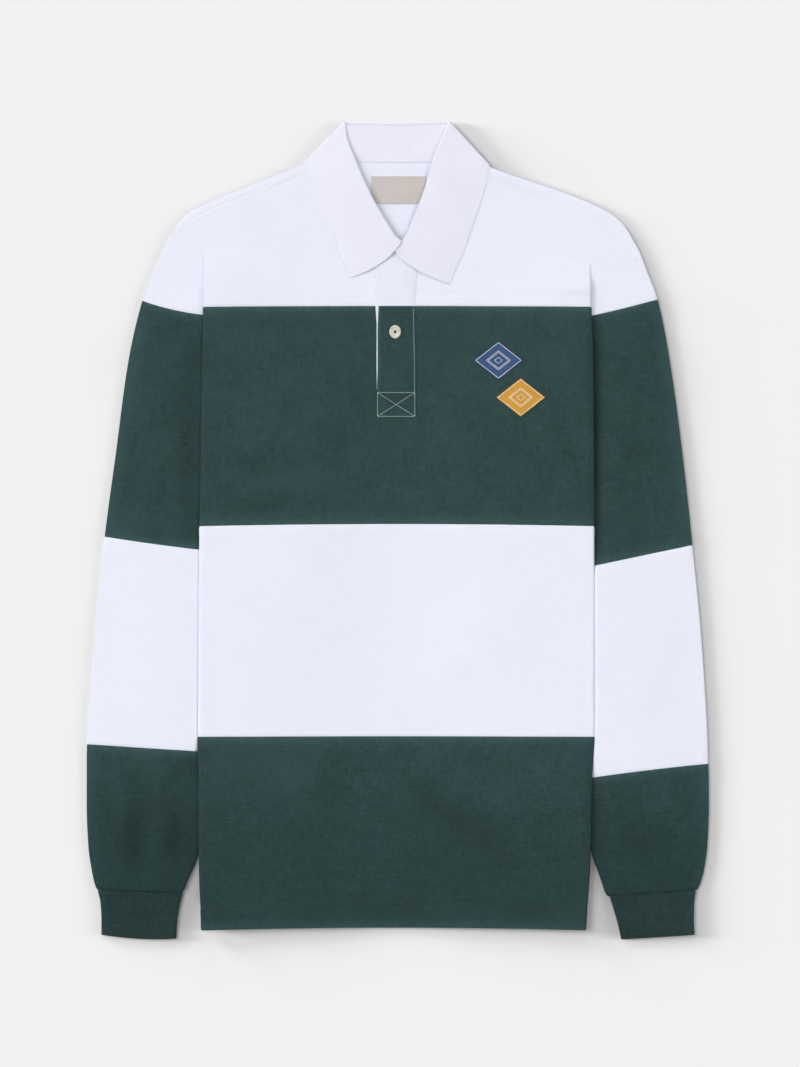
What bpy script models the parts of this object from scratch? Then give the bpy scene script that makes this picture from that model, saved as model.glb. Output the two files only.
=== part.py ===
"""A long-sleeved rugby shirt in four bands, laid flat on its back with both sides of the body folded under.

Lengths are in millimetres and become metres when a mesh is made. X runs across the shirt, Y from the hem up to
the collar, Z up from the surface that it lies on. The origin is on that surface, under the middle of the shirt.

The body is two cloths that lie on each other. One middle surface runs between them, the front's cloth on its
upper side and the back's on its lower side. At the side of the body it turns under, and both cloths turn with
it, the front outside the back. The collar goes on in the same way: the stand lies level with the panels that
it is sewn to, and the fall lies one ply outside it, above the front and below the back.
"""

import math

import bmesh
import bpy
import numpy
from mathutils import Vector
from mathutils.bvhtree import BVHTree

MM = 0.001
UP = Vector((0, 0, 1))
LEFT = -1
RIGHT = 1

# Cloth
CLOTH = 1.2
SLIP = 0.4  # air between two cloths that lie on each other
PLY = CLOTH + SLIP
HALF_PLY = PLY / 2  # from the middle surface to the middle of either cloth
LAYER = 2 * PLY  # from one double layer's middle surface to the next one's
BASE = HALF_PLY + CLOTH / 2  # height of the middle surface of a double layer on the floor
SEAM = 0.3  # gap between two pieces at the seam that joins them

# Body
CENTRE = -2.5  # middle line of the body, which lies a little to the left
SLIT = 1.5
SLIT_END = 129
YOKE_SEAM = 210.5  # height of the seam between the yoke and the top stripe
DRAPE = 50  # how far the panels take to come down from the stacked sides
CREASE_RUN = 38  # how far the side's crease takes to turn right over
CREASE_TOP = {LEFT: 269, RIGHT: 256}
CREASE_START = 1.5  # width of each of the crease's bends while it is still flat
LEAST_RUN = 0.6  # between the two bends of the tuck
FLAT_TURN = 0.05  # a turn below this counts as flat
YOKE_EDGE = 0.85  # where the flat yoke's crease columns start, as a share of its width
YOKE_TUCK = 0.75
NARROW_YOKE = 40  # the crease columns close up where the yoke is narrower than this
SHOULDER_TURN = 7.5  # from the shoulder's fold to the shoulder seam in front of it
SLEEVE_CLEARANCE = 8  # the body starts to rise this far inside the sleeve under it
NECK_LIFT_START = 304  # the panels rise from here to lie on the back of the collar
NECK_LIFT_RUN = 28
NECK_LIFT_END = 130
NECK_LIFT_FADE = 35
BOW_WIDTH = 185  # half the width over which a seam bows

# Tables down the shirt. Columns: height, distance from X = 0 on the left, the same on the right
OUTLINE = (  # shoulder, then the outer fold of the sleeve
    (350, 77.5, 74.0),
    (343, 95.0, 87.5),
    (335, 116.5, 109.0),
    (322, 148.5, 148.0),
    (309, 180.0, 181.5),
    (300, 197.5, 200.0),
    (288, 208.5, 214.0),
    (275, 217.5, 222.0),
    (262, 222.5, 229.0),
    (245, 230.0, 235.5),
    (218, 241.0, 245.5),
    (160, 254.5, 257.0),
    (76, 266.0, 268.5),
    (-15, 278.0, 278.5),
    (-115, 287.5, 288.0),
    (-220, 294.0, 293.5),
    (-260, 294.0, 294.0),
    (-298, 292.5, 292.5),
    (-323, 289.0, 289.0),
    (-337, 286.0, 285.0),
    (-346, 284.5, 282.5),
)
FOLD = (  # side edge of the body as it lies
    (390, 184.0, 182.5),
    (208, 184.0, 182.0),
    (3, 187.5, 183.5),
    (-195, 189.0, 183.5),
    (-312, 188.0, 182.0),
    (-380, 185.5, 177.5),
)
TUCK = (  # inner end of the tucked side: the crease's hidden turn, the armhole, then the side seam
    (270, 178.0, 176.0),
    (238, 178.0, 176.0),
    (222, 171.0, 169.5),
    (213, 166.0, 164.3),
    (210.5, 165.0, 163.5),
    (89.5, 90.5, 85.0),
    (-380, 90.0, 81.0),
)
UNDERARM = (  # inner fold of the sleeve, hidden under the body down to its lower end
    (89.5, 90.5, 85.0),
    (-312, 190.0, 185.0),
    (-323, 194.5, 189.0),
    (-333, 199.0, 192.5),
    (-348, 203.0, 197.0),
)
NECKLINE = (  # front neck seam, then the slit under the placket
    (350, 77.5, 74.0),
    (335, 73.5, 69.0),
    (312, 64.0, 59.0),
    (274, 40.5, 35.0),
    (260, 23.5, 18.5),
    (254, 9.0, 4.0),
    (250, 3.25, -1.75),
    (200, 3.25, -1.75),
)
SEAM_RISE = ((270, 0), (210.5, 1.0), (3.5, 2.0), (-195, 0.3), (-378, 2.5))  # bow of each row at its middle

# Armhole seam from the shoulder down. Columns: height, distance from X = 0
ARMHOLE = {
    LEFT: (
        (273, 218.5), (270, 210.5), (267, 205.5), (264.5, 197.5), (258, 188.0), (250, 186.0),
        (240, 183.5), (230, 179.0), (210.5, 171.0), (202, 166.0), (89.5, 90.5),
    ),
    RIGHT: (
        (256.5, 232.0), (253.5, 226.0), (247, 214.5), (236, 204.5), (226.5, 194.5), (219, 184.0),
        (210.5, 169.5), (198.5, 162.5), (89.5, 85.0),
    ),
}  # fmt: skip

# Rows of the yoke. Columns: height on the left, height on the right
ARMHOLE_ROWS = (
    (210.65, 210.65), (220, 214.5), (231, 218.5), (237, 224), (242, 229), (247, 234), (252, 239), (257, 244),
    (262, 249),
)  # fmt: skip
SHOULDER_ROWS = ((273, 256.5), (279, 264), (287, 273), (299, 290), (313, 307), (327, 323), (340, 338), (348, 347))
BAND_ROWS = {
    "upper_green": (210.35, 190, 160, 129, 110, 89.5, 45, 3.65),
    "middle_white": (3.35, -45, -95, -145, -195.05),
    "lower_green": (-195.35, -240, -280, -312, -345, -378),
}

# Sleeve seams, from the top stripe to the cuff. Columns: height at the outer fold, at the inner one, sag
SLEEVE_SEAMS = {
    LEFT: ((216.5, 202, 3), (-6.5, -25.5, 1.5), (-202.5, -210.5, 0), (-340, -342, 0)),
    RIGHT: ((218, 198.5, 1), (-14.5, -48, 0), (-221, -236.5, -1), (-340.5, -346, 0)),
}
# Columns: outer edge X and Y, inner edge X and Y
CUFF = {
    LEFT: ((283.5, -340.5, 203.0, -342.5), (281.0, -352, 206.0, -355), (280.0, -368, 208.5, -372),
           (280.0, -382.5, 209.0, -386)),
    RIGHT: ((281.5, -341, 200.0, -346.5), (280.0, -354, 204.0, -359), (279.8, -368, 208.0, -373),
            (280.5, -382.5, 211.0, -386.5)),
}  # fmt: skip
CUFF_WALL = 1.6
CUFF_BASE = 2.0  # height of the cuff's middle surface

# Collar rings, from the left front end round the back to the right front end.
# Columns: fold line X, Y and height, neck seam X and Y, outer edge X and Y, turn of its outer side away from up.
# The front and the back of the collar lie COLLAR_RADIUS above and below these points of the fold line.
COLLAR = (
    (3.0, 271.5, 8.2, -10.0, 255.5, -46.5, 239.5, 0),
    (-2.7, 276.3, 8.1, -18.0, 260.5, -52.0, 251.0, 0),
    (-12.2, 290.8, 7.7, -35.0, 270.5, -59.5, 272.5, 0),
    (-28.2, 319.4, 7.2, -56.5, 300.0, -72.0, 293.5, 0),
    (-40.3, 347.5, 6.5, -70.0, 330.0, -82.5, 318.0, 0),
    (-48.8, 370.0, 5.9, -75.0, 343.5, -86.5, 336.0, 0),
    (-50.5, 383.5, 5.7, -77.3, 350.2, -88.0, 344.3, 0),
    (-50.5, 383.5, 5.7, -77.3, 350.2, -88.0, 344.3, 45),
    (-50.5, 383.5, 5.7, -77.3, 350.2, -88.0, 344.3, 90),
    (-50.5, 383.5, 5.7, -77.3, 350.2, -88.0, 344.3, 135),
    (-50.5, 383.5, 5.7, -77.3, 350.2, -88.0, 344.3, 180),
    (-40.0, 383.0, 5.7, -62.0, 348.5, -70.0, 340.0, 180),
    (-22.0, 382.5, 5.7, -34.0, 347.8, -38.0, 337.0, 180),
    (-2.5, 382.2, 5.6, -2.5, 347.3, -2.5, 336.0, 180),
    (17.0, 382.5, 5.7, 29.0, 347.8, 33.0, 337.0, 180),
    (37.0, 383.0, 5.7, 57.0, 348.5, 66.0, 339.5, 180),
    (47.8, 383.7, 5.7, 72.7, 350.2, 85.7, 342.8, 180),
    (47.8, 383.7, 5.7, 72.7, 350.2, 85.7, 342.8, 135),
    (47.8, 383.7, 5.7, 72.7, 350.2, 85.7, 342.8, 90),
    (47.8, 383.7, 5.7, 72.7, 350.2, 85.7, 342.8, 45),
    (47.8, 383.7, 5.7, 72.7, 350.2, 85.7, 342.8, 0),
    (42.0, 370.0, 5.7, 70.5, 343.5, 84.5, 334.5, 0),
    (34.0, 347.5, 5.9, 65.5, 330.0, 80.0, 315.0, 0),
    (25.8, 319.4, 5.8, 51.5, 300.0, 71.5, 290.0, 0),
    (14.1, 290.8, 5.4, 29.5, 270.5, 62.0, 262.0, 0),
    (8.0, 276.3, 5.2, 17.5, 261.3, 54.0, 245.0, 0),
    (-3.0, 265.0, 5.1, -2.0, 255.5, 48.5, 233.0, 0),
)
COLLAR_RADIUS = 1.9
COLLAR_GAP = 0.5  # between the stand's upper edge and the fall's roll
COLLAR_ROLL = 1.0  # radius of the fold line's roll, at the middle of the wall
COLLAR_SIDE = {LEFT: Vector((-0.72, 0.69, 0)), RIGHT: Vector((0.71, 0.70, 0))}
FRONT_EDGE_BOW = {0: Vector((11.0, -3.5, 0)), len(COLLAR) - 1: Vector((-22.5, 3.0, 0))}

# Placket strips. Columns: height, left edge X, right edge X
PLACKET_WALL = 1.0
PLACKET_WHITE = ((254.5, -14.0, 15.5), (249, -18.5, 17.5), (232, -18.2, 17.0), (210.65, -18.0, 16.0))
PLACKET_GREEN = (
    (210.35, -18.0, 16.0), (170, -18.8, 16.5), (133, -19.5, 17.0), (124, -19.7, 17.0), (105.5, -20.0, 17.0),
)  # fmt: skip
PLACKET_SHARES = (0, 0.35, 0.7, 0.85, 1)
PLACKET_UNDER = ((251, -22.5, 6.0), (210, -21.2, 6.0), (170, -19.8, 6.0), (131, -18.5, 6.0))
PLACKET_LAP = 8  # how far the top strip takes to climb onto the under strip
PLACKET_LAP_END = 122
BUTTON_PLACE = (-2.5, 187.0)
BUTTON_PROFILE = ((0, 1.7), (3.9, 1.9), (4.7, 2.7), (5.6, 2.7), (6.2, 1.9), (5.9, 0.6), (4.6, 0), (0, 0))
BUTTON_STEPS = 24
BUTTON_HOLE = 0.9
BUTTON_HOLE_OFFSET = 1.5
BUTTON_HOLE_SIDES = 12

LABEL_WIDTH = 51.5
LABEL_HEIGHT = 25.5
LABEL_PLACE = (0.7, 321.2)
LABEL_WALL = 0.6
LABEL_CELLS = 4
LAID_GAP = 0.45  # below a badge or a label
BADGE_CELLS = 6
BADGE_WIDTH = 46
BADGE_HEIGHT = 36
BADGE_WALL = 0.8
BADGE_PLACES = {"badge_blue": (95.0, 160.0), "badge_mustard": (116.0, 125.0)}

FIELD_CELLS = 3  # faces from the body's middle to the stacked side
SIDE_CELLS = 4  # faces across the tucked side, and as many on the panel above it
BEND_CELLS = 4  # faces round a fold
RETURN_CELLS = 2
WRAP_CELLS = 2
STRIPE_GAP = 0.45  # how far the cap stops above its seam
CORNER_SHARE = 0.4  # of the way across the sleeve, where the top stripe's seam meets the armhole
BAND_CELLS = (6, 5, 5)
CAP_CELLS = 3
CUFF_CELLS = 3
TOP_SHARES = ((0, 0.1, 0.2, 0.3, 0.4, 0.6, 0.8, 1), (0, 0.2, 0.4, 0.6, 0.8, 1), (0, 0.2, 0.4, 0.6, 0.8, 1))
UNDER_SHARES = (0, 0.4, 0.7, 1)
FALL_CELLS = 5
STAND_CELLS = 3

WHITE = (0.80, 0.82, 0.90)
GREEN = (0.030, 0.057, 0.055)
ECRU = (0.72, 0.69, 0.60)
BEIGE = (0.66, 0.62, 0.57)
BLUE = (0.038, 0.080, 0.205)
MUSTARD = (0.66, 0.33, 0.035)


def mix(start, end, share):
    return start + (end - start) * share


def ease(share):
    """0 to 1 with a level start and end."""
    share = min(max(share, 0.0), 1.0)
    return share * share * (3 - 2 * share)


def read(table, height, column=1):
    """A column of a table whose heights fall, on a smooth curve that doesn't swing past its rows."""
    if height >= table[0][0]:
        return table[0][column]
    if height <= table[-1][0]:
        return table[-1][column]
    slopes = [(a[column] - b[column]) / (a[0] - b[0]) for a, b in zip(table, table[1:])]
    ends = [slopes[0]]
    for before, after in zip(slopes, slopes[1:]):
        same_way = before * after > 0
        ends.append(2 * before * after / (before + after) if same_way else 0.0)
    ends.append(slopes[-1])
    row = next(i for i in range(len(slopes)) if height >= table[i + 1][0])
    upper, lower = table[row], table[row + 1]
    step = lower[0] - upper[0]
    share = (height - upper[0]) / step
    smooth = ease(share)
    bend_start = share * (1 - share) ** 2 * step * ends[row]
    bend_end = share * share * (share - 1) * step * ends[row + 1]
    return mix(upper[column], lower[column], smooth) + bend_start + bend_end


def across(table, side, height):
    """The left's or the right's column of a table."""
    return read(table, height, 1 if side == LEFT else 2)


def outline_normal(side, height):
    """Outward direction at the shoulder's or the sleeve's outer fold, with X still counted outward."""
    step = 2.0
    run = across(OUTLINE, side, height + step) - across(OUTLINE, side, height - step)
    return Vector((2 * step, -run, 0)).normalized()


def outward(side, vector):
    return Vector((side * vector.x, vector.y, vector.z))


# Heights of the middle surface


def cover(out, edge):
    """1 outside an edge that lies under the cloth, easing to 0 towards the middle of the body."""
    return ease(1 + (out - edge) / DRAPE)


def crease_turn(side, height):
    """How far the side's crease has turned under, from 0 where it starts to half a turn."""
    return math.pi * ease((CREASE_TOP[side] - height) / CREASE_RUN)


def bend_radius(turn):
    """Radius of the crease's bends: tight once it is turned over, wide where it starts."""
    return max(LAYER / 2, CREASE_START / max(turn, FLAT_TURN))


def tuck_run(side, height):
    """Length of the flat cloth between the two bends of the tuck."""
    depth = across(FOLD, side, height) - across(TUCK, side, height)
    return max(depth - 2 * (LAYER / 2 + BASE), LEAST_RUN)


def crease_drop(side, height):
    """How far the crease brings the cloth down, over both its bends."""
    turn = crease_turn(side, height)
    return 2 * bend_radius(turn) * (1 - math.cos(turn)) + tuck_run(side, height) * math.sin(turn)


def sleeve_edge(side, height):
    """Inner edge of what lies on the floor under the body's side."""
    table = TUCK if height > UNDERARM[0][0] else UNDERARM
    return across(table, side, height) - SLEEVE_CLEARANCE


def neck_lift(out, height):
    """The panels lie on the back of the collar's fall."""
    rise = ease((height - NECK_LIFT_START) / NECK_LIFT_RUN)
    return PLY * rise * ease((NECK_LIFT_END - out) / NECK_LIFT_FADE)


def tucked_height(side, out, height):
    return BASE + LAYER * cover(out, sleeve_edge(side, height))


def panel_height(side, out, height):
    """Middle surface between the front and the back panel, anywhere inside the side fold."""
    if height > YOKE_SEAM:
        tuck = across(TUCK, side, height)
        covered = (cover(out, tuck) + cover(out, tuck - SLEEVE_CLEARANCE)) / 2
        return BASE + crease_drop(side, height) * covered + neck_lift(out, height)
    return tucked_height(side, out, height) + LAYER * cover(out, across(TUCK, side, height))


def seam_rise(out, height):
    return read(SEAM_RISE, height) * max(0.0, 1 - (out / BOW_WIDTH) ** 2)


def side_of(x):
    return LEFT if x < 0 else RIGHT


# Rows of the middle surface


def band_half(side, height, inner):
    """Half a row of a band: across the panel, round the side fold and in along the tucked side."""
    edge = across(FOLD, side, height) - LAYER / 2 - BASE
    tuck = across(TUCK, side, height)
    sides = [mix(tuck, edge, cell / SIDE_CELLS) for cell in range(SIDE_CELLS + 1)]
    outs = [mix(inner, tuck, cell / FIELD_CELLS) for cell in range(FIELD_CELLS)] + sides
    row = [Vector((side * out, height, panel_height(side, out, height))) for out in outs]
    middle = row[-1].z - LAYER / 2
    for cell in range(1, BEND_CELLS):
        turn = math.pi * cell / BEND_CELLS
        out = edge + math.sin(turn) * LAYER / 2
        row.append(Vector((side * out, height, middle + math.cos(turn) * LAYER / 2)))
    row += [Vector((side * out, height, tucked_height(side, out, height))) for out in reversed(sides)]
    for place in row:
        place.y += seam_rise(abs(place.x), height)
    return row


def yoke_half(side, height, inner, outer):
    """Half a row of the yoke: across the panel, through both bends of the crease and out to the armhole."""
    edge = across(FOLD, side, height) - LAYER / 2 - BASE
    tuck = across(TUCK, side, height)
    if height > CREASE_TOP[side]:
        edge = min(edge, mix(inner, outer, YOKE_EDGE))
        tuck = min(tuck, mix(inner, outer, YOKE_TUCK))
    narrow = min(1.0, (outer - inner) / NARROW_YOKE)
    turn = crease_turn(side, height)
    outs = [mix(inner, tuck, cell / FIELD_CELLS) for cell in range(FIELD_CELLS + 1)] + [edge]
    row = [Vector((side * out, height, panel_height(side, out, height))) for out in outs]
    angles = [turn * cell / BEND_CELLS for cell in range(BEND_CELLS + 1)]
    first_bend = [bend_step(before, after, turn) for before, after in zip(angles, angles[1:])]
    run = tuck_run(side, height)
    flat = Vector((run * math.cos(turn), 0, -run * math.sin(turn)))
    for step in first_bend + [flat] + first_bend[::-1]:
        row.append(row[-1] + Vector((side * narrow * step.x, 0, step.z)))
    start = abs(row[-1].x)
    for cell in range(1, RETURN_CELLS + 1):
        out = mix(start, outer, cell / RETURN_CELLS)
        row.append(Vector((side * out, height, BASE + neck_lift(out, height))))
    for place in row:
        place.y += seam_rise(abs(place.x), height)
    return row


def bend_step(before, after, turn):
    """One face's step round a bend, straight while the crease is still flat."""
    if turn < FLAT_TURN:
        return Vector((CREASE_START / BEND_CELLS, 0, 0))
    radius = bend_radius(turn)
    return Vector((math.sin(after) - math.sin(before), 0, math.cos(after) - math.cos(before))) * radius


def triangles(rows, closed=False, skipped=None):
    """Faces between rows, by the index of each point. All layers are cut the same way, down and outward."""
    width = len(rows[0])
    faces = []
    for line in range(len(rows) - 1):
        for column in range(width if closed else width - 1):
            if skipped and skipped(line, column):
                continue
            after = (column + 1) % width
            upper, upper_after = line * width + column, line * width + after
            lower, lower_after = upper + width, upper_after + width
            if abs(rows[line][column].x) < abs(rows[line][after].x):
                faces += [(upper, lower, lower_after), (upper, lower_after, upper_after)]
            else:
                faces += [(upper, lower, upper_after), (lower, lower_after, upper_after)]
    return faces


def lay(rows, offset):
    """One cloth of a double layer: every face moved this far off the middle surface, with Y kept at each point."""
    points = [point for row in rows for point in row]
    normals = [[] for _ in points]
    for face in triangles(rows):
        first, second, third = (points[index] for index in face)
        normal = (second - first).cross(third - first).normalized()
        for index in face:
            normals[index].append((normal.x, normal.z))
    moved = []
    for point, around in zip(points, normals):
        distances = numpy.full(len(around), offset)
        step = numpy.linalg.lstsq(numpy.array(around), distances, rcond=0.2)[0]
        moved.append(point + Vector((step[0], 0, step[1])))
    width = len(rows[0])
    return [moved[start : start + width] for start in range(0, len(moved), width)]


def shoulder_end(side, height, inset):
    """Place on the shoulder, this far in from its fold, and the outward direction there."""
    normal = outline_normal(side, height)
    place = Vector((across(OUTLINE, side, height), height, 0)) - normal * inset
    return place, normal


# Meshes


def cloth(name, rows, colour, wall=CLOTH, closed=False, skipped=None):
    """A piece of cloth through rows of points at the middle of its wall."""
    mesh = bmesh.new()
    points = [mesh.verts.new(point * MM) for row in rows for point in row]
    for face in triangles(rows, closed, skipped):
        mesh.faces.new([points[index] for index in face])
    loose = [point for point in mesh.verts if not point.link_faces]
    bmesh.ops.delete(mesh, geom=loose, context="VERTS")
    data = bpy.data.meshes.new(name)
    mesh.to_mesh(data)
    mesh.free()
    piece = bpy.data.objects.new(name, data)
    SHIRT.objects.link(piece)
    data.materials.append(colour)
    data.shade_smooth()
    thickness = piece.modifiers.new("wall", "SOLIDIFY")
    thickness.thickness = wall * MM
    thickness.offset = 0
    thickness.use_even_offset = True


def surface(name, colour, roughness=0.9):
    material = bpy.data.materials.new(name)
    material.use_nodes = True
    shader = material.node_tree.nodes["Principled BSDF"]
    shader.inputs["Base Color"].default_value = (*colour, 1)
    shader.inputs["Roughness"].default_value = roughness
    shader.inputs["Metallic"].default_value = 0
    return material


# Front and back


def yoke_rows(side, offset):
    """Rows of the yoke from the top stripe's seam up to the neck, the first ones up to the armhole."""
    column = 0 if side == LEFT else 1
    rows = []
    for heights in ARMHOLE_ROWS:
        height = heights[column]
        rows.append(yoke_half(side, height, across(NECKLINE, side, height), read(ARMHOLE[side], height)))
    for heights in SHOULDER_ROWS:
        end, _ = shoulder_end(side, heights[column], SHOULDER_TURN + SEAM / 2)
        rows.append(yoke_half(side, end.y, across(NECKLINE, side, end.y), end.x))
    return lay(rows, -side * offset)


def shoulder_wrap(side, shoulder):
    """The back's cloth from the underside of the shoulder round its fold to the seam on the front."""
    axis, normal = shoulder_end(side, shoulder, BASE)
    axis.z = BASE + neck_lift(axis.x, axis.y)
    row = []
    for cell in range(BEND_CELLS + 1):
        turn = math.pi * cell / BEND_CELLS
        row.append(axis + (normal * math.sin(turn) - UP * math.cos(turn)) * HALF_PLY)
    for cell in range(1, WRAP_CELLS + 1):
        inset = mix(0, SHOULDER_TURN - SEAM / 2 - BASE, cell / WRAP_CELLS)
        row.append(axis + UP * HALF_PLY - normal * inset)
    return [outward(side, point) for point in row]


def back_yoke_rows():
    """The rows of both front yokes, one ply lower, joined behind the neck and carried over the shoulders."""
    wrap_columns = BEND_CELLS + 1 + WRAP_CELLS
    halves = {side: yoke_rows(side, -HALF_PLY) for side in (LEFT, RIGHT)}
    for column, side in enumerate((LEFT, RIGHT)):
        for line, row in enumerate(halves[side]):
            if line < len(ARMHOLE_ROWS):
                row += [row[-1]] * wrap_columns
            else:
                row += shoulder_wrap(side, SHOULDER_ROWS[line - len(ARMHOLE_ROWS)][column])
    rows = []
    for left, right in zip(halves[LEFT], halves[RIGHT]):
        y = (left[0].y + right[0].y) / 2
        middle = Vector((CENTRE, y, panel_height(LEFT, -CENTRE, y) - HALF_PLY))
        rows.append(left[:0:-1] + [middle] + right[1:])
    return rows


def yokes(colour):
    """The two halves of the front above the top stripe, and the one piece of the back behind them."""
    front_names = {LEFT: "front_yoke_left", RIGHT: "front_yoke_right"}
    for side, name in front_names.items():
        cloth(name, yoke_rows(side, HALF_PLY), colour)
    rows = back_yoke_rows()
    wrap_columns = BEND_CELLS + 1 + WRAP_CELLS
    columns = len(rows[0]) - 1

    def below_the_wrap(line, column):
        return line < len(ARMHOLE_ROWS) and not wrap_columns <= column < columns - wrap_columns

    cloth("back_yoke", rows, colour, skipped=below_the_wrap)


def band_rows(heights, offset, slit):
    """Whole rows of a band's front or back, from the left's tucked end to the right's."""
    rows = []
    for height in heights:
        left = band_half(LEFT, height, -CENTRE + slit / 2)
        right = band_half(RIGHT, height, CENTRE + slit / 2)
        rows.append(left[::-1] + (right if slit else right[1:]))
    return lay(rows, offset)


def bands(colours):
    """The front and the back of each band below the yoke; the placket's slit opens the front of the first."""
    for name, heights in BAND_ROWS.items():
        colour = colours[name]
        cloth("back_" + name, band_rows(heights, -HALF_PLY, 0), colour)
        if name == "upper_green":
            rows = band_rows(heights, HALF_PLY, SLIT)
            slit_column = len(rows[0]) // 2 - 1

            def in_slit(row, column):
                return column == slit_column and heights[row + 1] >= SLIT_END

            cloth("front_" + name, rows, colour, skipped=in_slit)
        else:
            cloth("front_" + name, band_rows(heights, HALF_PLY, 0), colour)


# Sleeves


def sleeve_ring(top, under, base, radius, outer_way, inner_way):
    """A flattened tube's ring at the middle of its wall, over a line and back under another between the same ends."""
    ring = [point + UP * (base + radius) for point in top]
    for cell in range(1, BEND_CELLS):
        turn = math.pi * cell / BEND_CELLS
        ring.append(top[-1] + UP * (base + radius * math.cos(turn)) + inner_way * radius * math.sin(turn))
    ring += [point + UP * (base - radius) for point in reversed(under)]
    for cell in range(1, BEND_CELLS):
        turn = math.pi * cell / BEND_CELLS
        ring.append(top[0] + UP * (base - radius * math.cos(turn)) + outer_way * radius * math.sin(turn))
    return ring


def outer_fold(side, height):
    """Axis of the sleeve's outer fold, with X still counted outward."""
    return Vector((across(OUTLINE, side, height), height, 0)) - outline_normal(side, height) * BASE


def inner_fold(side, height):
    return Vector((across(UNDERARM, side, height) + BASE, height, 0))


def beside(line, gap):
    """A line moved sideways by this much, to its left."""
    directions = [(after - before).normalized() for before, after in zip(line, line[1:])]
    directions = [directions[0]] + directions + [directions[-1]]
    moved = []
    for point, before, after in zip(line, directions, directions[1:]):
        normals = [Vector((-way.y, way.x, 0)) for way in (before, after)]
        moved.append(point + (normals[0] + normals[1]) * gap / (1 + normals[0].dot(normals[1])))
    return moved


def armhole_line(side):
    """The cap's edge along the armhole seam, from the sleeve's outer fold in to the top stripe's seam."""
    column = 0 if side == LEFT else 1
    table = ARMHOLE[side]
    heights = [heights[column] for heights in reversed(ARMHOLE_ROWS)] + [SLEEVE_SEAMS[side][0][1] + 3]
    seam = [Vector((read(table, height), height, 0)) for height in heights]
    fold, _ = shoulder_end(side, SHOULDER_ROWS[0][column], BASE)
    shoulder_seam, _ = shoulder_end(side, SHOULDER_ROWS[0][column], SHOULDER_TURN)
    return beside([fold, shoulder_seam] + seam, SEAM)


def corner(side):
    """Where the top stripe's seam meets the armhole, under the body."""
    height = SLEEVE_SEAMS[side][0][1]
    return Vector((read(ARMHOLE[side], height), height, 0))


def cap_row(side, share, under):
    """A line across the cap, from the armhole seam at share 0 down to the top stripe's seam at 1."""
    outer_height, _, sag = SLEEVE_SEAMS[side][0]
    start = armhole_line(side)
    seam_start = outer_fold(side, outer_height + STRIPE_GAP)
    seam_end = corner(side) + Vector((0, STRIPE_GAP, 0))
    outer = outer_fold(side, mix(start[0].y, seam_start.y, share))
    bulge = outer - mix(start[0], seam_start, share)
    row = []
    for column, armhole_point in enumerate(start):
        part = column / (len(start) - 1)
        seam_point = mix(seam_start, seam_end, part)
        if not under:
            seam_point.y -= sag * 4 * part * (1 - part)
        row.append(mix(armhole_point, seam_point, share) + (bulge * (1 - part) if share > 0 else Vector()))
    return row


def band_row(side, band, share, parts, under):
    """A line across a sleeve band below the cap, from its upper seam at share 0 to its lower one at 1."""
    upper, lower = SLEEVE_SEAMS[side][band], SLEEVE_SEAMS[side][band + 1]
    outer_top, outer_end = upper[0] - SEAM / 2, lower[0] + SEAM / 2
    inner_top = UNDERARM[0][0] if band == 0 else upper[1] - SEAM / 2
    inner_end = lower[1] + SEAM / 2
    outer = outer_fold(side, mix(outer_top, outer_end, share))
    inner = inner_fold(side, mix(inner_top, inner_end, share))
    sag = 0 if under else mix(0 if band == 0 else upper[2], lower[2], share)
    stripe_start = outer_fold(side, outer_top)
    stripe_end = corner(side) - Vector((0, SEAM / 2, 0))
    armhole_end = inner_fold(side, inner_top)
    row = []
    for part in parts:
        point = mix(outer, inner, part)
        point.y -= sag * 4 * part * (1 - part)
        if band == 0:
            if part < CORNER_SHARE:
                along = part / CORNER_SHARE
                edge = mix(stripe_start, stripe_end, along)
                if not under:
                    edge.y -= upper[2] * 4 * along * (1 - along)
            else:
                edge = mix(stripe_end, armhole_end, (part - CORNER_SHARE) / (1 - CORNER_SHARE))
            point += (edge - mix(stripe_start, armhole_end, part)) * (1 - share)
        row.append(point)
    return row


def sleeve_rings(side, lines, base, radius):
    """Rings through pairs of lines, the upper one and the lower one, with X still counted outward."""
    rings = []
    for top, under in lines:
        outer_way = outward(side, outline_normal(side, top[0].y))
        top = [outward(side, point) for point in top]
        under = [outward(side, point) for point in under]
        rings.append(sleeve_ring(top, under, base, radius, outer_way, Vector((-side, 0, 0))))
    return rings


def sleeve(side, word, colours):
    """A sleeve's cap, its three bands and its cuff, each one flattened tube."""
    shares = [row / CAP_CELLS for row in range(CAP_CELLS + 1)]
    lines = [(cap_row(side, share, False), cap_row(side, share, True)) for share in shares]
    cloth(f"sleeve_{word}_cap", sleeve_rings(side, lines, BASE, HALF_PLY), colours["cap"], closed=True)
    for band, name in enumerate(BAND_ROWS):
        shares = [row / BAND_CELLS[band] for row in range(BAND_CELLS[band] + 1)]
        lines = []
        for share in shares:
            top = band_row(side, band, share, TOP_SHARES[band], False)
            lines.append((top, band_row(side, band, share, UNDER_SHARES, True)))
        cloth(f"sleeve_{word}_{name}", sleeve_rings(side, lines, BASE, HALF_PLY), colours[name], closed=True)
    lines = []
    for outer_x, outer_y, inner_x, inner_y in CUFF[side]:
        outer = Vector((outer_x - CUFF_BASE, outer_y, 0))
        inner = Vector((inner_x + CUFF_BASE, inner_y, 0))
        line = [mix(outer, inner, cell / CUFF_CELLS) for cell in range(CUFF_CELLS + 1)]
        lines.append((line, line))
    rings = sleeve_rings(side, lines, CUFF_BASE, CUFF_BASE - CUFF_WALL / 2)
    cloth(f"cuff_{word}", rings, colours["lower_green"], wall=CUFF_WALL, closed=True)


# Collar


def panel_place(x, y):
    """A place on the middle surface of the body."""
    side = side_of(x)
    return Vector((x, y, panel_height(side, side * x, y)))


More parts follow.
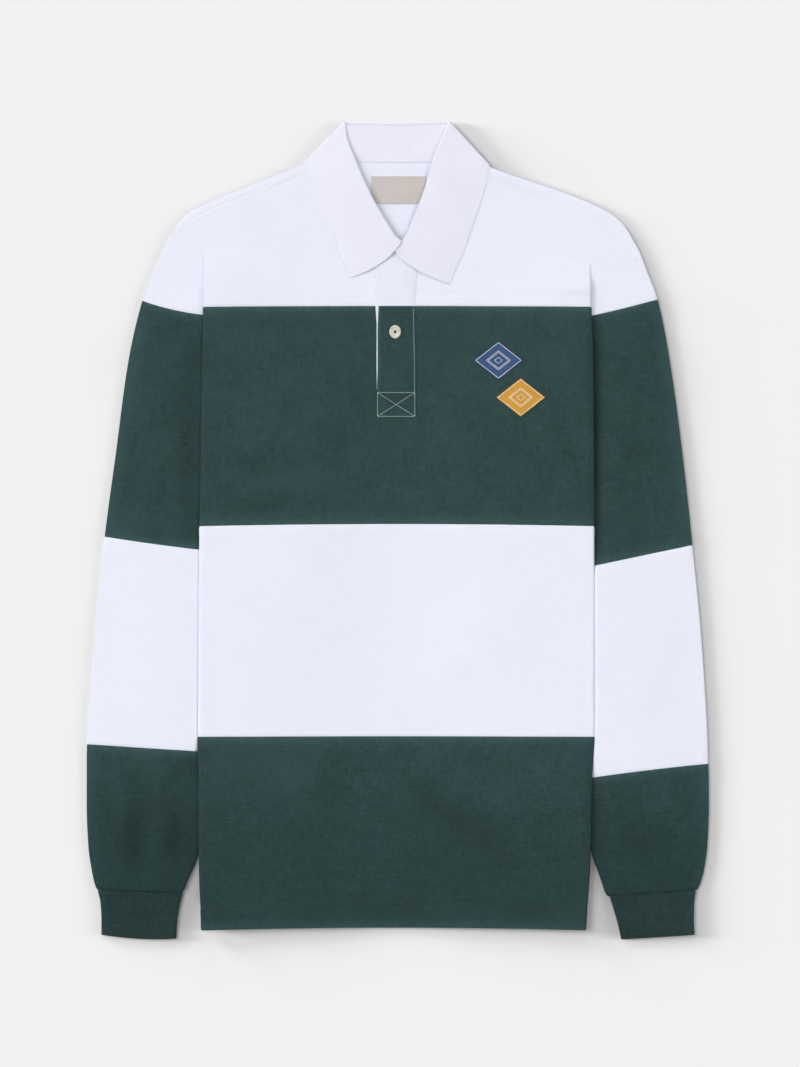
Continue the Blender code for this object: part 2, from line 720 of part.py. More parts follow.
def collar_ring(index):
    """Fold line, neck seam and outer edge of one ring, each with the direction of its outer side."""
    fold_x, fold_y, fold_z, neck_x, neck_y, edge_x, edge_y, turn = COLLAR[index]
    angle = math.radians(turn)
    side = side_of(fold_x)
    facing = UP * math.cos(angle) + COLLAR_SIDE[side] * math.sin(angle)
    edge_facing = UP * math.cos(angle) + outward(side, outline_normal(side, edge_y)) * math.sin(angle)
    fold = Vector((fold_x, fold_y, fold_z)) + facing * COLLAR_RADIUS
    return fold, panel_place(neck_x, neck_y), panel_place(edge_x, edge_y), facing, edge_facing


def stand_row(index):
    """Up from the neck seam to just below the fold line's roll."""
    fold, neck, _, facing, _ = collar_ring(index)
    start = neck + facing * HALF_PLY
    end = fold - facing * COLLAR_ROLL - (fold - neck).normalized() * COLLAR_GAP
    return [mix(start, end, cell / STAND_CELLS) for cell in range(STAND_CELLS + 1)]


def fall_row(index):
    """Round the fold line, then down to the outer edge on a curve that starts level."""
    fold, neck, edge, facing, edge_facing = collar_ring(index)
    away = fold - neck
    away -= facing * away.dot(facing)
    away.normalize()
    row = []
    for cell in range(BEND_CELLS):
        turn = math.pi * cell / BEND_CELLS
        row.append(fold + (away * math.sin(turn) - facing * math.cos(turn)) * COLLAR_ROLL)
    start = fold + facing * COLLAR_ROLL
    end = edge + edge_facing * (HALF_PLY + PLY)
    middle = (start + end) / 2 + FRONT_EDGE_BOW.get(index, Vector())
    middle.z = mix(end.z, start.z, (1 + facing.z) / 2)
    for cell in range(FALL_CELLS + 1):
        share = cell / FALL_CELLS
        row.append(mix(mix(start, middle, share), mix(middle, end, share), share))
    return row


def collar(colour):
    cloth("collar_stand", [stand_row(index) for index in range(1, len(COLLAR))], colour)
    cloth("collar_fall", [fall_row(index) for index in range(len(COLLAR))], colour)


# Placket, button, label and badges


def strip_rows(table, lift, shares):
    """A strip on the front, whose middle is this far above the middle surface of the body."""
    rows = []
    for height, left, right in table:
        row = []
        for share in shares:
            x = mix(left, right, share)
            point = panel_place(x, height + seam_rise(abs(x), height))
            row.append(point + UP * lift(x, height))
        rows.append(row)
    return rows


def placket(white, green):
    """Both strips of the placket. It returns how high the button sits."""
    first = HALF_PLY + CLOTH / 2 + SEAM + PLACKET_WALL / 2
    second = first + PLACKET_WALL + SEAM

    def on_under_strip(x, height):
        across_lap = ease((PLACKET_WHITE[0][2] - x) / PLACKET_LAP)
        return mix(first, second, across_lap * ease((height - PLACKET_LAP_END) / PLACKET_LAP))

    cloth("placket_under", strip_rows(PLACKET_UNDER, lambda x, y: first, (0, 0.5, 1)), white, PLACKET_WALL)
    upper = strip_rows(PLACKET_WHITE, on_under_strip, PLACKET_SHARES)
    lower = strip_rows(PLACKET_GREEN, on_under_strip, PLACKET_SHARES)
    cloth("placket_top_white", upper, white, PLACKET_WALL)
    cloth("placket_top_green", lower, green, PLACKET_WALL)
    return BASE + second + PLACKET_WALL / 2 + SEAM


def button(colour, bottom):
    """A turned button with a raised rim and two holes."""
    mesh = bmesh.new()
    points = [mesh.verts.new(Vector((radius, 0, height)) * MM) for radius, height in BUTTON_PROFILE]
    for start, end in zip(points, points[1:]):
        mesh.edges.new((start, end))
    data = bpy.data.meshes.new("button")
    mesh.to_mesh(data)
    mesh.free()
    piece = bpy.data.objects.new("button", data)
    SHIRT.objects.link(piece)
    piece.location = Vector((*BUTTON_PLACE, bottom)) * MM
    data.materials.append(colour)
    turned = piece.modifiers.new("turned", "SCREW")
    turned.steps = BUTTON_STEPS
    turned.render_steps = BUTTON_STEPS
    turned.use_merge_vertices = True
    turned.merge_threshold = 0.00001
    turned.use_normal_calculate = True
    for number, way in enumerate((-1, 1)):
        bpy.ops.mesh.primitive_cylinder_add(vertices=BUTTON_HOLE_SIDES, radius=BUTTON_HOLE * MM, depth=0.01)
        cutter = bpy.context.object
        cutter.name = f"button_hole_{number}"
        cutter.location = piece.location + Vector((0, way * BUTTON_HOLE_OFFSET, 1)) * MM
        cutter.hide_render = True
        cutter.display_type = "WIRE"
        for collection in list(cutter.users_collection):
            collection.objects.unlink(cutter)
        CUTTERS.objects.link(cutter)
        cut = piece.modifiers.new("hole", "BOOLEAN")
        cut.operation = "DIFFERENCE"
        cut.object = cutter


def height_over(rows):
    """A function that gives the height of a laid cloth at a place."""
    tree = BVHTree.FromPolygons([point for row in rows for point in row], triangles(rows))
    above = 50

    def height(x, y):
        place, _, _, _ = tree.ray_cast(Vector((x, y, above)), -UP)
        return place.z

    return height


def neck_label(colour):
    """Woven label on the inside of the back, below the neck seam."""
    height = height_over(back_yoke_rows())
    middle_x, middle_y = LABEL_PLACE
    gap = CLOTH / 2 + LAID_GAP + LABEL_WALL / 2
    rows = []
    for line in range(LABEL_CELLS + 1):
        y = middle_y + LABEL_HEIGHT * (0.5 - line / LABEL_CELLS)
        xs = [middle_x + LABEL_WIDTH * (column / LABEL_CELLS - 0.5) for column in range(LABEL_CELLS + 1)]
        rows.append([Vector((x, y, height(x, y) + gap)) for x in xs])
    cloth("neck_label", rows, colour, LABEL_WALL)


def badges(colours):
    """Two lozenges on the wearer's chest, laid on the front."""
    height = height_over(band_rows(BAND_ROWS["upper_green"], HALF_PLY, SLIT))
    gap = CLOTH / 2 + LAID_GAP + BADGE_WALL / 2
    for name, (middle_x, middle_y) in BADGE_PLACES.items():
        rows = []
        for line in range(BADGE_CELLS + 1):
            points = []
            for column in range(BADGE_CELLS + 1):
                rising, falling = column / BADGE_CELLS - 0.5, line / BADGE_CELLS - 0.5
                x = middle_x + BADGE_WIDTH / 2 * (rising + falling)
                y = middle_y + BADGE_HEIGHT / 2 * (rising - falling)
                points.append(Vector((x, y, height(x, y) + gap)))
            rows.append(points)
        cloth(name, rows, colours[name], BADGE_WALL)


for existing in list(bpy.data.objects):
    bpy.data.objects.remove(existing, do_unlink=True)
SHIRT = bpy.data.collections.new("rugby_shirt")
CUTTERS = bpy.data.collections.new("cutters")
bpy.context.scene.collection.children.link(SHIRT)
bpy.context.scene.collection.children.link(CUTTERS)

white_jersey = surface("white_jersey", WHITE)
green_jersey = surface("green_jersey", GREEN)
white_twill = surface("white_twill", WHITE)
BAND_COLOURS = {
    "cap": white_jersey,
    "upper_green": green_jersey,
    "middle_white": white_jersey,
    "lower_green": green_jersey,
}

yokes(white_jersey)
bands(BAND_COLOURS)
sleeve(LEFT, "left", BAND_COLOURS)
sleeve(RIGHT, "right", BAND_COLOURS)
collar(white_twill)
button_bottom = placket(white_twill, green_jersey)
button(surface("button_ecru", ECRU, 0.4), button_bottom)
neck_label(surface("label_beige", BEIGE))
badges({"badge_blue": surface("felt_blue", BLUE), "badge_mustard": surface("felt_mustard", MUSTARD)})
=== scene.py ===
"""Looks of a long-sleeved rugby shirt in four bands, laid flat with both sides of its body folded under.

Each piece of cloth is a fine shell on its solid's form, from the same named sizes, with soft folds, seams,
stitches and knit added. Lengths are in millimetres and become metres when a mesh is made.
"""

import itertools
import math

import bpy
import numpy as np
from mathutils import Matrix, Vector


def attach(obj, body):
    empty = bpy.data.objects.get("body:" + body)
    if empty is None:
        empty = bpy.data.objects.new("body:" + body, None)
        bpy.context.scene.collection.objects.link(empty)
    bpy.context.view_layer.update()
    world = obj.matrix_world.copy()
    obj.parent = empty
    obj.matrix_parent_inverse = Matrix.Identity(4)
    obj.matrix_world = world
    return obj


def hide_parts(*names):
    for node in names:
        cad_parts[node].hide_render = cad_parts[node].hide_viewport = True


MM = 0.001
UP = np.array((0.0, 0.0, 1.0))
INWARD = np.array((-1.0, 0.0, 0.0))  # with X counted outward
LEFT = -1
RIGHT = 1
SIDES = {LEFT: "left", RIGHT: "right"}
COLUMN = {LEFT: 0, RIGHT: 1}  # place of a side's value in a pair

# Cloth, with the plies of the solids
PLY = 1.6
HALF_PLY = PLY / 2
LAYER = 2 * PLY
CLOTH = 1.2
BASE = HALF_PLY + CLOTH / 2
SEAM = 0.06
WALL = 1.0  # the shell's own thickness

# Grids
FIELD_STEP = 3.4
BEND_CELLS = 10
WRAP_CELLS = 9
RUN_CELLS = 4
SEAM_FINE = (0.5, 1.1, 2.0, 3.2)  # distances from a seam at which more rows lie
CAP_FINE = (0.5, 1.2, 2.2)
STRIP_FINE = (0.4, 0.9, 1.5)
BEND_TURNS = np.linspace(0, math.pi, BEND_CELLS + 1)
BAND_PANEL, BAND_SIDE = 100, 95  # rough widths, for the number of columns: of the middle, of a tucked side
YOKE_PANEL, YOKE_SIDE, YOKE_REST = 150, 18, 40  # the same for the yoke, with what lies beyond its crease
UNDER_STEP = 1.6  # how much wider the columns of the tucked cloth are

# Body
CENTRE = -2.5
SLIT = 1.5
SLIT_END = 129
SLIT_POINT = 0.6
YOKE_SEAM = 210.5
DRAPE = 80  # width over which the cloth comes down from what it lies on
CREASE_RUN = 38  # height over which the yoke's crease goes from flat to folded under
CREASE_TOP = {LEFT: 269, RIGHT: 256}
CREASE_START = 1.5  # length of each of its bends while it is almost flat
LEAST_RUN = 0.6  # of the cloth between its two bends
FLAT_TURN = 0.05  # angle in radians below which it counts as flat
YOKE_FINE = (0, 0.03, 0.07, 0.14, 0.25)  # in rows of the yoke, as the start and step of the rest
YOKE_START, YOKE_STEP = 0.4, 0.25
YOKE_EDGE = 0.85  # share of a row at which its edge lies at most, over the crease's top
YOKE_TUCK = 0.75  # the same for its tuck
NARROW_YOKE = 40  # width below which a row's crease becomes narrower with it
WRAP_RISE = 6
SHOULDER_TURN = 7.5  # how far inside the outline the shoulder seam lies
SLEEVE_CLEARANCE = 8  # how far inside the sleeve's inner edge the cloth over it is still level
NECK_ROWS = (322, 341)  # heights between which the back's rows come to bend up to the neck
NECK_RISE = 6.2  # how far they do on the centre line
ROW_TURN, NECK_TURN = 1.3, 0.3  # how soon a row turns to its outer height, and over what share by the neck
NECK_LIFT_START = 304
NECK_LIFT_RUN = 28
NECK_LIFT_END = 130
NECK_LIFT_FADE = 35
BOW_WIDTH = 185  # distance from X = 0 at which a seam has stopped rising

# Tables down the shirt. Columns: height, distance from X = 0 on the left, the same on the right
OUTLINE = (
    (350, 77.5, 74.0), (343, 95.0, 87.5), (335, 116.5, 109.0), (322, 148.5, 148.0), (309, 180.0, 181.5),
    (300, 197.5, 200.0), (288, 208.5, 214.0), (275, 217.5, 222.0), (262, 222.5, 229.0), (245, 230.0, 235.5),
    (218, 241.0, 245.5), (160, 254.5, 257.0), (76, 266.0, 268.5), (-15, 278.0, 278.5), (-115, 287.5, 288.0),
    (-220, 294.0, 293.5), (-260, 294.0, 294.0), (-298, 292.5, 292.5), (-323, 289.0, 289.0),
    (-337, 286.0, 285.0), (-346, 284.5, 282.5),
)
FOLD = (
    (390, 184.0, 182.5), (208, 184.0, 183.0), (165, 184.6, 184.6), (3, 187.5, 185.6), (-180, 188.9, 186.0),
    (-240, 188.6, 183.4), (-312, 188.0, 182.0), (-380, 185.5, 177.5),
)
TUCK = (
    (270, 178.0, 176.0), (238, 178.0, 176.0), (222, 171.0, 169.5), (213, 166.0, 164.3),
    (210.5, 165.0, 163.5), (89.5, 90.5, 85.0), (-380, 90.0, 81.0),
)
UNDERARM = (
    (89.5, 90.5, 85.0), (-312, 190.0, 185.0), (-323, 194.5, 189.0), (-333, 199.0, 192.5),
    (-348, 203.0, 197.0),
)
NECKLINE = (
    (350, 77.5, 74.0), (335, 73.5, 69.0), (312, 64.0, 59.0), (274, 40.5, 35.0), (260, 23.5, 18.5),
    (254, 9.0, 4.0), (250, 3.25, -1.75), (200, 3.25, -1.75),
)
# How far the seams rise on the centre line. Columns: height, rise
SEAM_RISE = ((270, 0), (210.5, 1.0), (3.5, 2.0), (-195, 0.3), (-378, 2.5))

# Armhole seam from the shoulder down. Columns: height, distance from X = 0
ARMHOLE = {
    LEFT: (
        (273, 218.5), (270, 210.5), (267, 205.5), (264.5, 197.5), (258, 188.0), (250, 186.0),
        (240, 183.5), (230, 179.0), (210.5, 171.0), (202, 166.0), (89.5, 90.5),
    ),
    RIGHT: (
        (256.5, 232.0), (253.5, 226.0), (247, 214.5), (236, 204.5), (226.5, 194.5), (219, 184.0),
        (210.5, 169.5), (198.5, 162.5), (89.5, 85.0),
    ),
}  # fmt: skip

# Rows of the yoke. Columns: height on the left, height on the right
ARMHOLE_ROWS = (
    (210.53, 210.53), (220, 214.5), (231, 218.5), (237, 224), (242, 229), (247, 234), (252, 239), (257, 244),
    (262, 249),
)  # fmt: skip
SHOULDER_ROWS = (
    (273, 256.5), (279, 264), (287, 273), (299, 290), (313, 307), (327, 323), (340, 338), (348, 347),
)  # fmt: skip

# Bands of the body. Columns: upper seam, lower seam
BANDS = {
    "upper_green": (210.47, 3.53),
    "middle_white": (3.47, -195.17),
    "lower_green": (-195.23, -378),
}
HEM_STITCHES = (-354.5, -357.5)
HEM_FLAT = 48
HEM_FOLDS = 0.2
HEM_STEP = (0.45, 2)  # height and width of the step at the turned-up cloth's edge
HEM_GROOVE = (0.22, 0.8)
HEM_THREAD_SINK = 0.18
HEM_THREAD_UNDER = 0.35  # how far the back's stitches are drawn into the cloth, clear of the floor

# Seams, with the dip at the seam and the ridge of its turned-in edge beside it
SEAM_DIP = (0.45, 0.9)
SEAM_RIDGE = (0.32, 2.5, 11, 4)  # height, run of its start, where it ends and run of its end
SEAM_WEAR = (0.75, 6.0)
BACK_RELIEF = 0.6
WRAP_RELIEF = 0.4

# Where the front lies flat. Columns: height at its start, run of its start, half width, run of its sides
FLAT_BY_COLLAR = (218, 30, 118, 26)
FLAT_BY_PLACKET = (78, 22, 38, 16)
CALM_YOKE = (0.75, 175, 35)  # how much flatter the yoke is, from which height and over which run
SIDE_REST, SIDE_FADE = 2, 9
BACK_FOLDS_END, BACK_FOLDS_FADE = 150, 30
PUFF_FALL, PUFF_LEAST = 90, 0.02

# Sleeve seams, from the top stripe to the cuff. Columns: height at the outer fold, at the inner one, sag
SLEEVE_SEAMS = {
    LEFT: ((216.5, 202, 3), (-6.5, -25.5, 1.5), (-202.5, -210.5, 0), (-340, -342, 0)),
    RIGHT: ((218, 198.5, 1), (-14.5, -48, 0), (-221, -236.5, -1), (-340.5, -346, 0)),
}
# Columns: outer edge X and Y, inner edge X and Y
CUFF = {
    LEFT: ((283.5, -340.1, 203.0, -342.1), (281.0, -352, 206.0, -355), (280.0, -368, 208.5, -372),
           (280.0, -382.5, 209.0, -386)),
    RIGHT: ((281.5, -340.6, 200.0, -346.1), (280.0, -354, 204.0, -359), (279.8, -368, 208.0, -373),
            (280.5, -382.5, 211.0, -386.5)),
}  # fmt: skip
CUFF_WALL = 1.6
CUFF_BASE = 2.0
CUFF_SAG = {LEFT: 1.8, RIGHT: 0.1}
CUFF_SHELL = 1.5
CUFF_STEP = 2.2
CUFF_COLUMNS = 34
CAP_LENGTH = 60
CAP_STEP = 3.2
SLEEVE_COLUMNS = {"cap": (36, 18), "upper_green": (52, 24), "middle_white": (49, 18), "lower_green": (34, 16)}
STRIPE_GAP = 0.1  # how far over the top stripe's seam the cap ends
ARMHOLE_LAP = 1.0  # distance between the armhole's line and the cap's first row
ARMHOLE_STEP = (0.05, 3, 2)  # height, reach and run
ARMHOLE_END = 3  # how far over the top stripe's seam the armhole's line ends
CORNER_SHARE = 0.4  # share of the top stripe's columns that lie outside the armhole's corner
EDGE_COLUMNS = 0.65  # share of the columns that lie outside the body's edge
EDGE_CROWDING = 1.7  # how closely they lie at that edge, from 1 for even columns
END_PUFF = 2.2
END_PUFF_REACH, END_PUFF_RUN = 38, 30
CUFF_SEAM_DIP = (0.9, 1.6)
RIM_WEAR = (0.5, 9)
END_ROUNDING = 0.066  # share of the sleeve's width taken off at its last corners
END_ROUNDING_RUN = 7.0

# Collar rings, from the left front end round the back to the right front end.
# Columns: fold line X, Y and height, neck seam X and Y, outer edge X and Y
LEFT_LEAF = (
    (3.0, 271.5, 8.2, -10.0, 255.5, -45.8, 238.2),
    (-2.7, 276.3, 8.1, -18.0, 260.5, -52.0, 251.0),
    (-12.2, 290.8, 7.7, -35.0, 270.5, -59.5, 272.5),
    (-28.2, 319.4, 7.2, -56.5, 300.0, -72.0, 293.5),
    (-40.3, 347.5, 6.5, -70.0, 330.0, -82.5, 318.0),
    (-48.8, 370.0, 3.8, -75.0, 343.5, -86.5, 336.0),
    (-50.5, 383.5, 2.8, -77.3, 350.2, -88.0, 344.3),
)
COLLAR_BACK = (
    (-40.0, 383.0, 2.8, -62.0, 348.5, -70.0, 340.0),
    (-22.0, 382.5, 2.8, -34.0, 347.8, -38.0, 337.0),
    (-2.5, 382.2, 2.8, -2.5, 347.3, -2.5, 336.0),
    (17.0, 382.5, 2.8, 29.0, 347.8, 33.0, 337.0),
    (37.0, 383.0, 2.8, 57.0, 348.5, 66.0, 339.5),
)
RIGHT_LEAF = (
    (47.8, 383.7, 2.8, 72.7, 350.2, 85.7, 342.8),
    (42.0, 370.0, 3.8, 70.5, 343.5, 84.5, 334.5),
    (34.0, 347.5, 5.9, 65.5, 330.0, 80.0, 315.0),
    (25.8, 319.4, 5.8, 51.5, 300.0, 71.5, 290.0),
    (14.1, 290.8, 5.4, 29.5, 270.5, 62.0, 262.0),
    (8.0, 276.3, 5.2, 17.5, 261.3, 54.0, 245.0),
    (-3.0, 265.0, 5.1, -2.0, 255.5, 48.5, 231.8),
)
TURNS = (45, 90, 135, 180)  # of the outer side away from up, where the collar turns over at each shoulder
COLLAR = (
    *((*ring, 0) for ring in LEFT_LEAF),
    *((*LEFT_LEAF[-1], turn) for turn in TURNS),
    *((*ring, 180) for ring in COLLAR_BACK),
    *((*RIGHT_LEAF[0], turn) for turn in reversed(TURNS)),
    *((*ring, 0) for ring in RIGHT_LEAF),
)
COLLAR_MIDDLE = len(COLLAR) // 2
COLLAR_RADIUS = 1.9
BACK_RADIUS = 1.2
BACK_START, BACK_RUN = 345, 30
COLLAR_GAP = 0.1
COLLAR_ROLL = 1.0
COLLAR_SIDE = {LEFT: np.array((-0.72, 0.69, 0.0)), RIGHT: np.array((0.71, 0.70, 0.0))}
LEFT_EDGE_BOW = np.array((11.0, -6.0, 0.0))
RIGHT_EDGE_BOW = np.array((-22.5, 2.6, 0.0))
COLLAR_REST = 1.82  # height of the fall's outer edge over the middle of the cloth it lies on
LEAF_ARCH = 0.35  # how much the leaves' ends arch, as a share of the rest
LEAF_ARCH_RINGS = 3
COLLAR_CELL = 1.8
STAND_CELLS, ROLL_CELLS, FALL_CELLS = 16, 9, 26
RING_LENGTH = 12
COLLAR_STITCH = 6.5
COLLAR_GROOVE = (0.07, 0.9)
COLLAR_BORDER = (0.12, 2.0)
COLLAR_WEAR = 1.5

# Placket strips. Columns: height, left edge X, right edge X
PLACKET_WALL = 1.0
PLACKET_WHITE = (
    (262, -8.0, 7.5), (256, -15.0, 15.0), (249, -18.5, 17.5), (232, -18.2, 17.0), (210.53, -18.0, 16.0),
)  # fmt: skip
PLACKET_GREEN = (
    (210.47, -18.0, 16.0), (188, -18.9, 16.3), (150, -19.0, 17.0), (134, -19.6, 17.0), (124, -19.7, 17.0),
    (105.5, -20.0, 17.0),
)  # fmt: skip
PLACKET_UNDER = (
    (251, -22.5, 6.0), (210, -21.0, 6.0), (190, -19.9, 6.0), (160, -20.0, 6.0), (131, -19.8, 6.0),
)  # fmt: skip
PLACKET_LAP = 8
PLACKET_LAP_EDGE = 15.5
PLACKET_LAP_END = 122
PLACKET_BOX = (-19.2, 16.1, 129.7, 107.2)  # left, right, top and bottom of the stitched box
STRIP_GAP = 0.3
STRIP_SHELL = 0.8
STRIP_STEP, STRIP_COLUMN = 2.0, 1.8
STRIP_END = 0.6  # how much less the strips' ends are rounded than their sides
STRIP_ROUNDING = (0.45, 1.1)
STRIP_WEAR = (0.8, 0.8, 1.0)  # how much, how far inside the edge and how wide
FIRST_STRIP = CLOTH / 2 + STRIP_GAP + PLACKET_WALL / 2
SECOND_STRIP = FIRST_STRIP + PLACKET_WALL + STRIP_GAP

# Button: radius and height along its profile, from the middle of its top round to the middle of its underside
BUTTON_PROFILE = (
    (0.0, 1.55), (2.6, 1.6), (3.6, 1.75), (4.3, 2.25), (4.8, 2.62), (5.35, 2.72), (5.85, 2.5), (6.15, 1.95),
    (6.2, 1.4), (6.0, 0.75), (5.3, 0.2), (4.2, 0.0), (0.0, 0.0),
)  # fmt: skip
BUTTON_PLACE = (-2.5, 187.0)
BUTTON_GAP = 0.1
BUTTON_CORNERS = 64
BUTTON_STRETCH = (0.89, 1.03)
BUTTON_THREADS = (-0.35, 0.0, 0.35)
BUTTON_THREAD_REACH = 1.1
BUTTON_THREAD_REST = 1.62
BUTTON_THREAD_RISE = 0.35
BUTTON_THREAD_TURN = 1.3  # half the angle of the thread's arch, in radians
BUTTON_THREAD_PLACES = 12
HOLE_OFFSET = (0.62, 0.7)
HOLE_RINGS = (0.05, 0.72)
HOLE_CORNERS = 24
HOLE_REST = 1.66

# Thread. Columns of a stitch's rings: share of its length, height over its line, share of its thickness
STITCH_RINGS = ((0.0, -0.30, 0.45), (0.18, 0.0, 0.9), (0.5, 0.12, 1.0), (0.82, 0.0, 0.9), (1.0, -0.30, 0.45))
STITCH_CORNERS = 6
STITCH_SPREAD = 0.06
THREAD_REST = 0.1
STRIP_THREAD_REST = 0.5
# Stitches of each seam. Columns: length, gap between two, radius of the thread
STITCHES = {
    "stripe_stitches": (0.9, 2.1, 0.17),
    "placket_edge_stitches": (1.3, 1.6, 0.24),
    "placket_stitches": (1.35, 1.05, 0.28),
    "placket_upper_stitches": (2.0, 0.8, 0.22),
    "badge_border_stitches": (1.7, 0.25, 0.36),
    "badge_motif_stitches": (1.5, 0.25, 0.34),
    "hem_stitches_front": (2.5, 0.6, 0.3),
    "hem_stitches_back": (2.5, 0.6, 0.3),
    "shoulder_stitches": (2.4, 0.7, 0.32),
    "armhole_stitches": (2.4, 0.7, 0.22),
    "button_thread": (3.3, 0.1, 0.3),
}
# How many places each line is read at
PLACES = {
    "armhole": 60,
    "sewn_armhole": 50,
    "shoulder": 90,
    "hem": 120,
    "stripe": 160,
    "box": 30,
    "badge": 20,
}
# Lines inside the strips' edges. Columns: column of the strip's table, start, end, X from the edge, places
PLACKET_EDGE_LINE = (2, 209, 130.5, -1.2, 80)
PLACKET_UPPER_LINES = ((2, 230, 212, -1.9, 30), (1, 236, 212, 1.9, 30))
SHOULDER_UNSEWN = (1, 3)  # how much of the shoulder's height is left unsewn, at the armhole and by the neck
SHOULDER_INSETS = (4.8, 9.6)
ARMHOLE_INSETS = (1.8, 5.8)
ARMHOLE_SKIP = 6  # how many places at the armhole's start are left unsewn
STRIPE_STITCH = 208.7
STRIPE_STITCH_STARTS = {LEFT: 24, RIGHT: 19}
STRIPE_STITCH_END = (209, 4)  # height at which the side fold is read, and how far inside it the line ends

LABEL_WIDTH = 51.5
LABEL_HEIGHT = 25.5
LABEL_PLACE = (0.7, 321.2)
LABEL_GRID = (31, 21)
LABEL_SHELL = 0.5
LABEL_REST = 0.75
LABEL_BELLY = 0.35
BADGE_WIDTH = 46
BADGE_HEIGHT = 36
BADGE_GRID = 25
BADGE_REST = 0.85
BADGE_THREAD_REST = 1.3
BADGE_BORDER = 0.93
BADGE_MOTIF = (0.5, 0.42, 0.16)
BADGES = {"badge_blue": (95.0, 160.0), "badge_mustard": (116.0, 125.0)}

FOLD_TAPER = 0.25  # how much wider than in its middle a fold is at its far end

# Soft folds of the front. Columns: middle X and Y, direction in degrees, half length and width, height, bend
FRONT_FOLDS = (
    (44, -268, -44, 62, 17, 3.0, 6), (112, -318, -38, 40, 14, 1.6, -4), (-60, -246, -62, 44, 20, 2.0, -5),
    (-122, -300, 74, 52, 17, 2.0, 5), (-30, -332, 6, 60, 11, 1.1, 4), (136, -238, 82, 36, 15, 1.4, 3),
    (-86, 34, 6, 46, 9, 1.8, 3), (-136, 96, 66, 50, 16, 2.2, -6), (-62, 118, -58, 46, 17, 1.6, 6),
    (138, 74, -50, 44, 13, 2.2, 5), (78, 56, -24, 48, 16, 1.7, -6), (64, 182, -14, 36, 12, 1.3, 4),
    (-104, 176, 28, 40, 14, 1.5, -4), (6, 50, 82, 40, 18, 1.2, 5), (-92, -60, -34, 62, 22, 0.9, 7),
    (84, -96, 38, 66, 24, 0.9, -8), (-20, -142, -12, 60, 20, 0.7, 6), (132, -30, -68, 44, 18, 0.8, 4),
    (-138, -138, 78, 46, 16, 0.8, -4), (-130, 244, 24, 38, 15, 0.15, 4), (118, 258, -30, 42, 16, 0.15, -5),
    (-142, 292, -52, 30, 14, 0.2, 3),
)
BACK_FOLDS = (
    (-52, 140, 58, 60, 18, 1.4, 6), (66, 96, -52, 56, 17, 1.3, -6), (12, 30, 8, 70, 16, 1.0, 5),
    (-70, -70, -40, 60, 20, 1.1, -6), (58, -120, 46, 64, 19, 1.2, 7), (-20, -262, -66, 58, 17, 1.4, -5),
    (74, -300, -34, 44, 15, 1.0, 4), (-64, -338, 12, 50, 12, 0.9, 3), (20, 246, 84, 40, 18, 0.8, 4),
)
# Soft folds of the sleeves, with X counted outward
SLEEVE_FOLDS = {
    LEFT: (
        (236, 130, 84, 70, 19, 3.6, 4), (244, 40, 64, 40, 13, 2.2, -4), (214, 66, -58, 34, 11, 1.9, 3),
        (232, 176, -38, 30, 13, 1.7, 3), (246, -60, 84, 60, 20, 1.4, 4), (232, -132, -72, 46, 16, 1.2, -4),
        (252, -172, 38, 34, 14, 0.9, 3), (262, -252, 62, 40, 12, 2.6, -4), (228, -262, -70, 34, 11, 2.6, 4),
        (246, -306, 26, 30, 10, 1.9, 3), (214, -306, 78, 26, 9, 1.5, -3),
    ),
    RIGHT: (
        (236, 118, 78, 74, 20, 2.6, -4), (250, 30, -70, 44, 15, 1.9, 4), (222, 164, 34, 32, 13, 1.4, 3),
        (216, 62, 70, 34, 12, 1.3, -3), (248, -92, 80, 62, 20, 1.3, 4), (226, -158, -66, 44, 16, 1.0, -4),
        (262, -186, 52, 34, 14, 0.8, 3), (256, -262, -78, 40, 14, 1.9, -4), (224, -284, 60, 34, 12, 1.6, 4),
        (246, -316, -28, 28, 10, 1.7, 3),
    ),
}

# How far from the body's edge and from the outer fold the sleeve's folds start, with the run of each
SLEEVE_CLEAR = (1, 14)
SLEEVE_RIM = (1.5, 12)

# How far the sleeve stands up beside the body. Columns: height, lift, width of the slope
PUFF = {
    LEFT: ((258, 0.0, 20), (215, 2.5, 12), (200, 4.0, 20), (20, 4.8, 22), (-20, 5.4, 2.4), (-198, 5.4, 2.4),
           (-230, 3.6, 12), (-340, 1.8, 14), (-360, 0, 14)),
    RIGHT: ((256, 0.0, 12), (236, 0.2, 14), (205, 0.1, 16), (190, 0.1, 16), (5, 0.1, 16), (-45, 5.4, 2.4),
            (-215, 5.4, 2.4), (-262, 0.4, 14), (-340, 0.3, 14), (-360, 0, 14)),
}  # fmt: skip

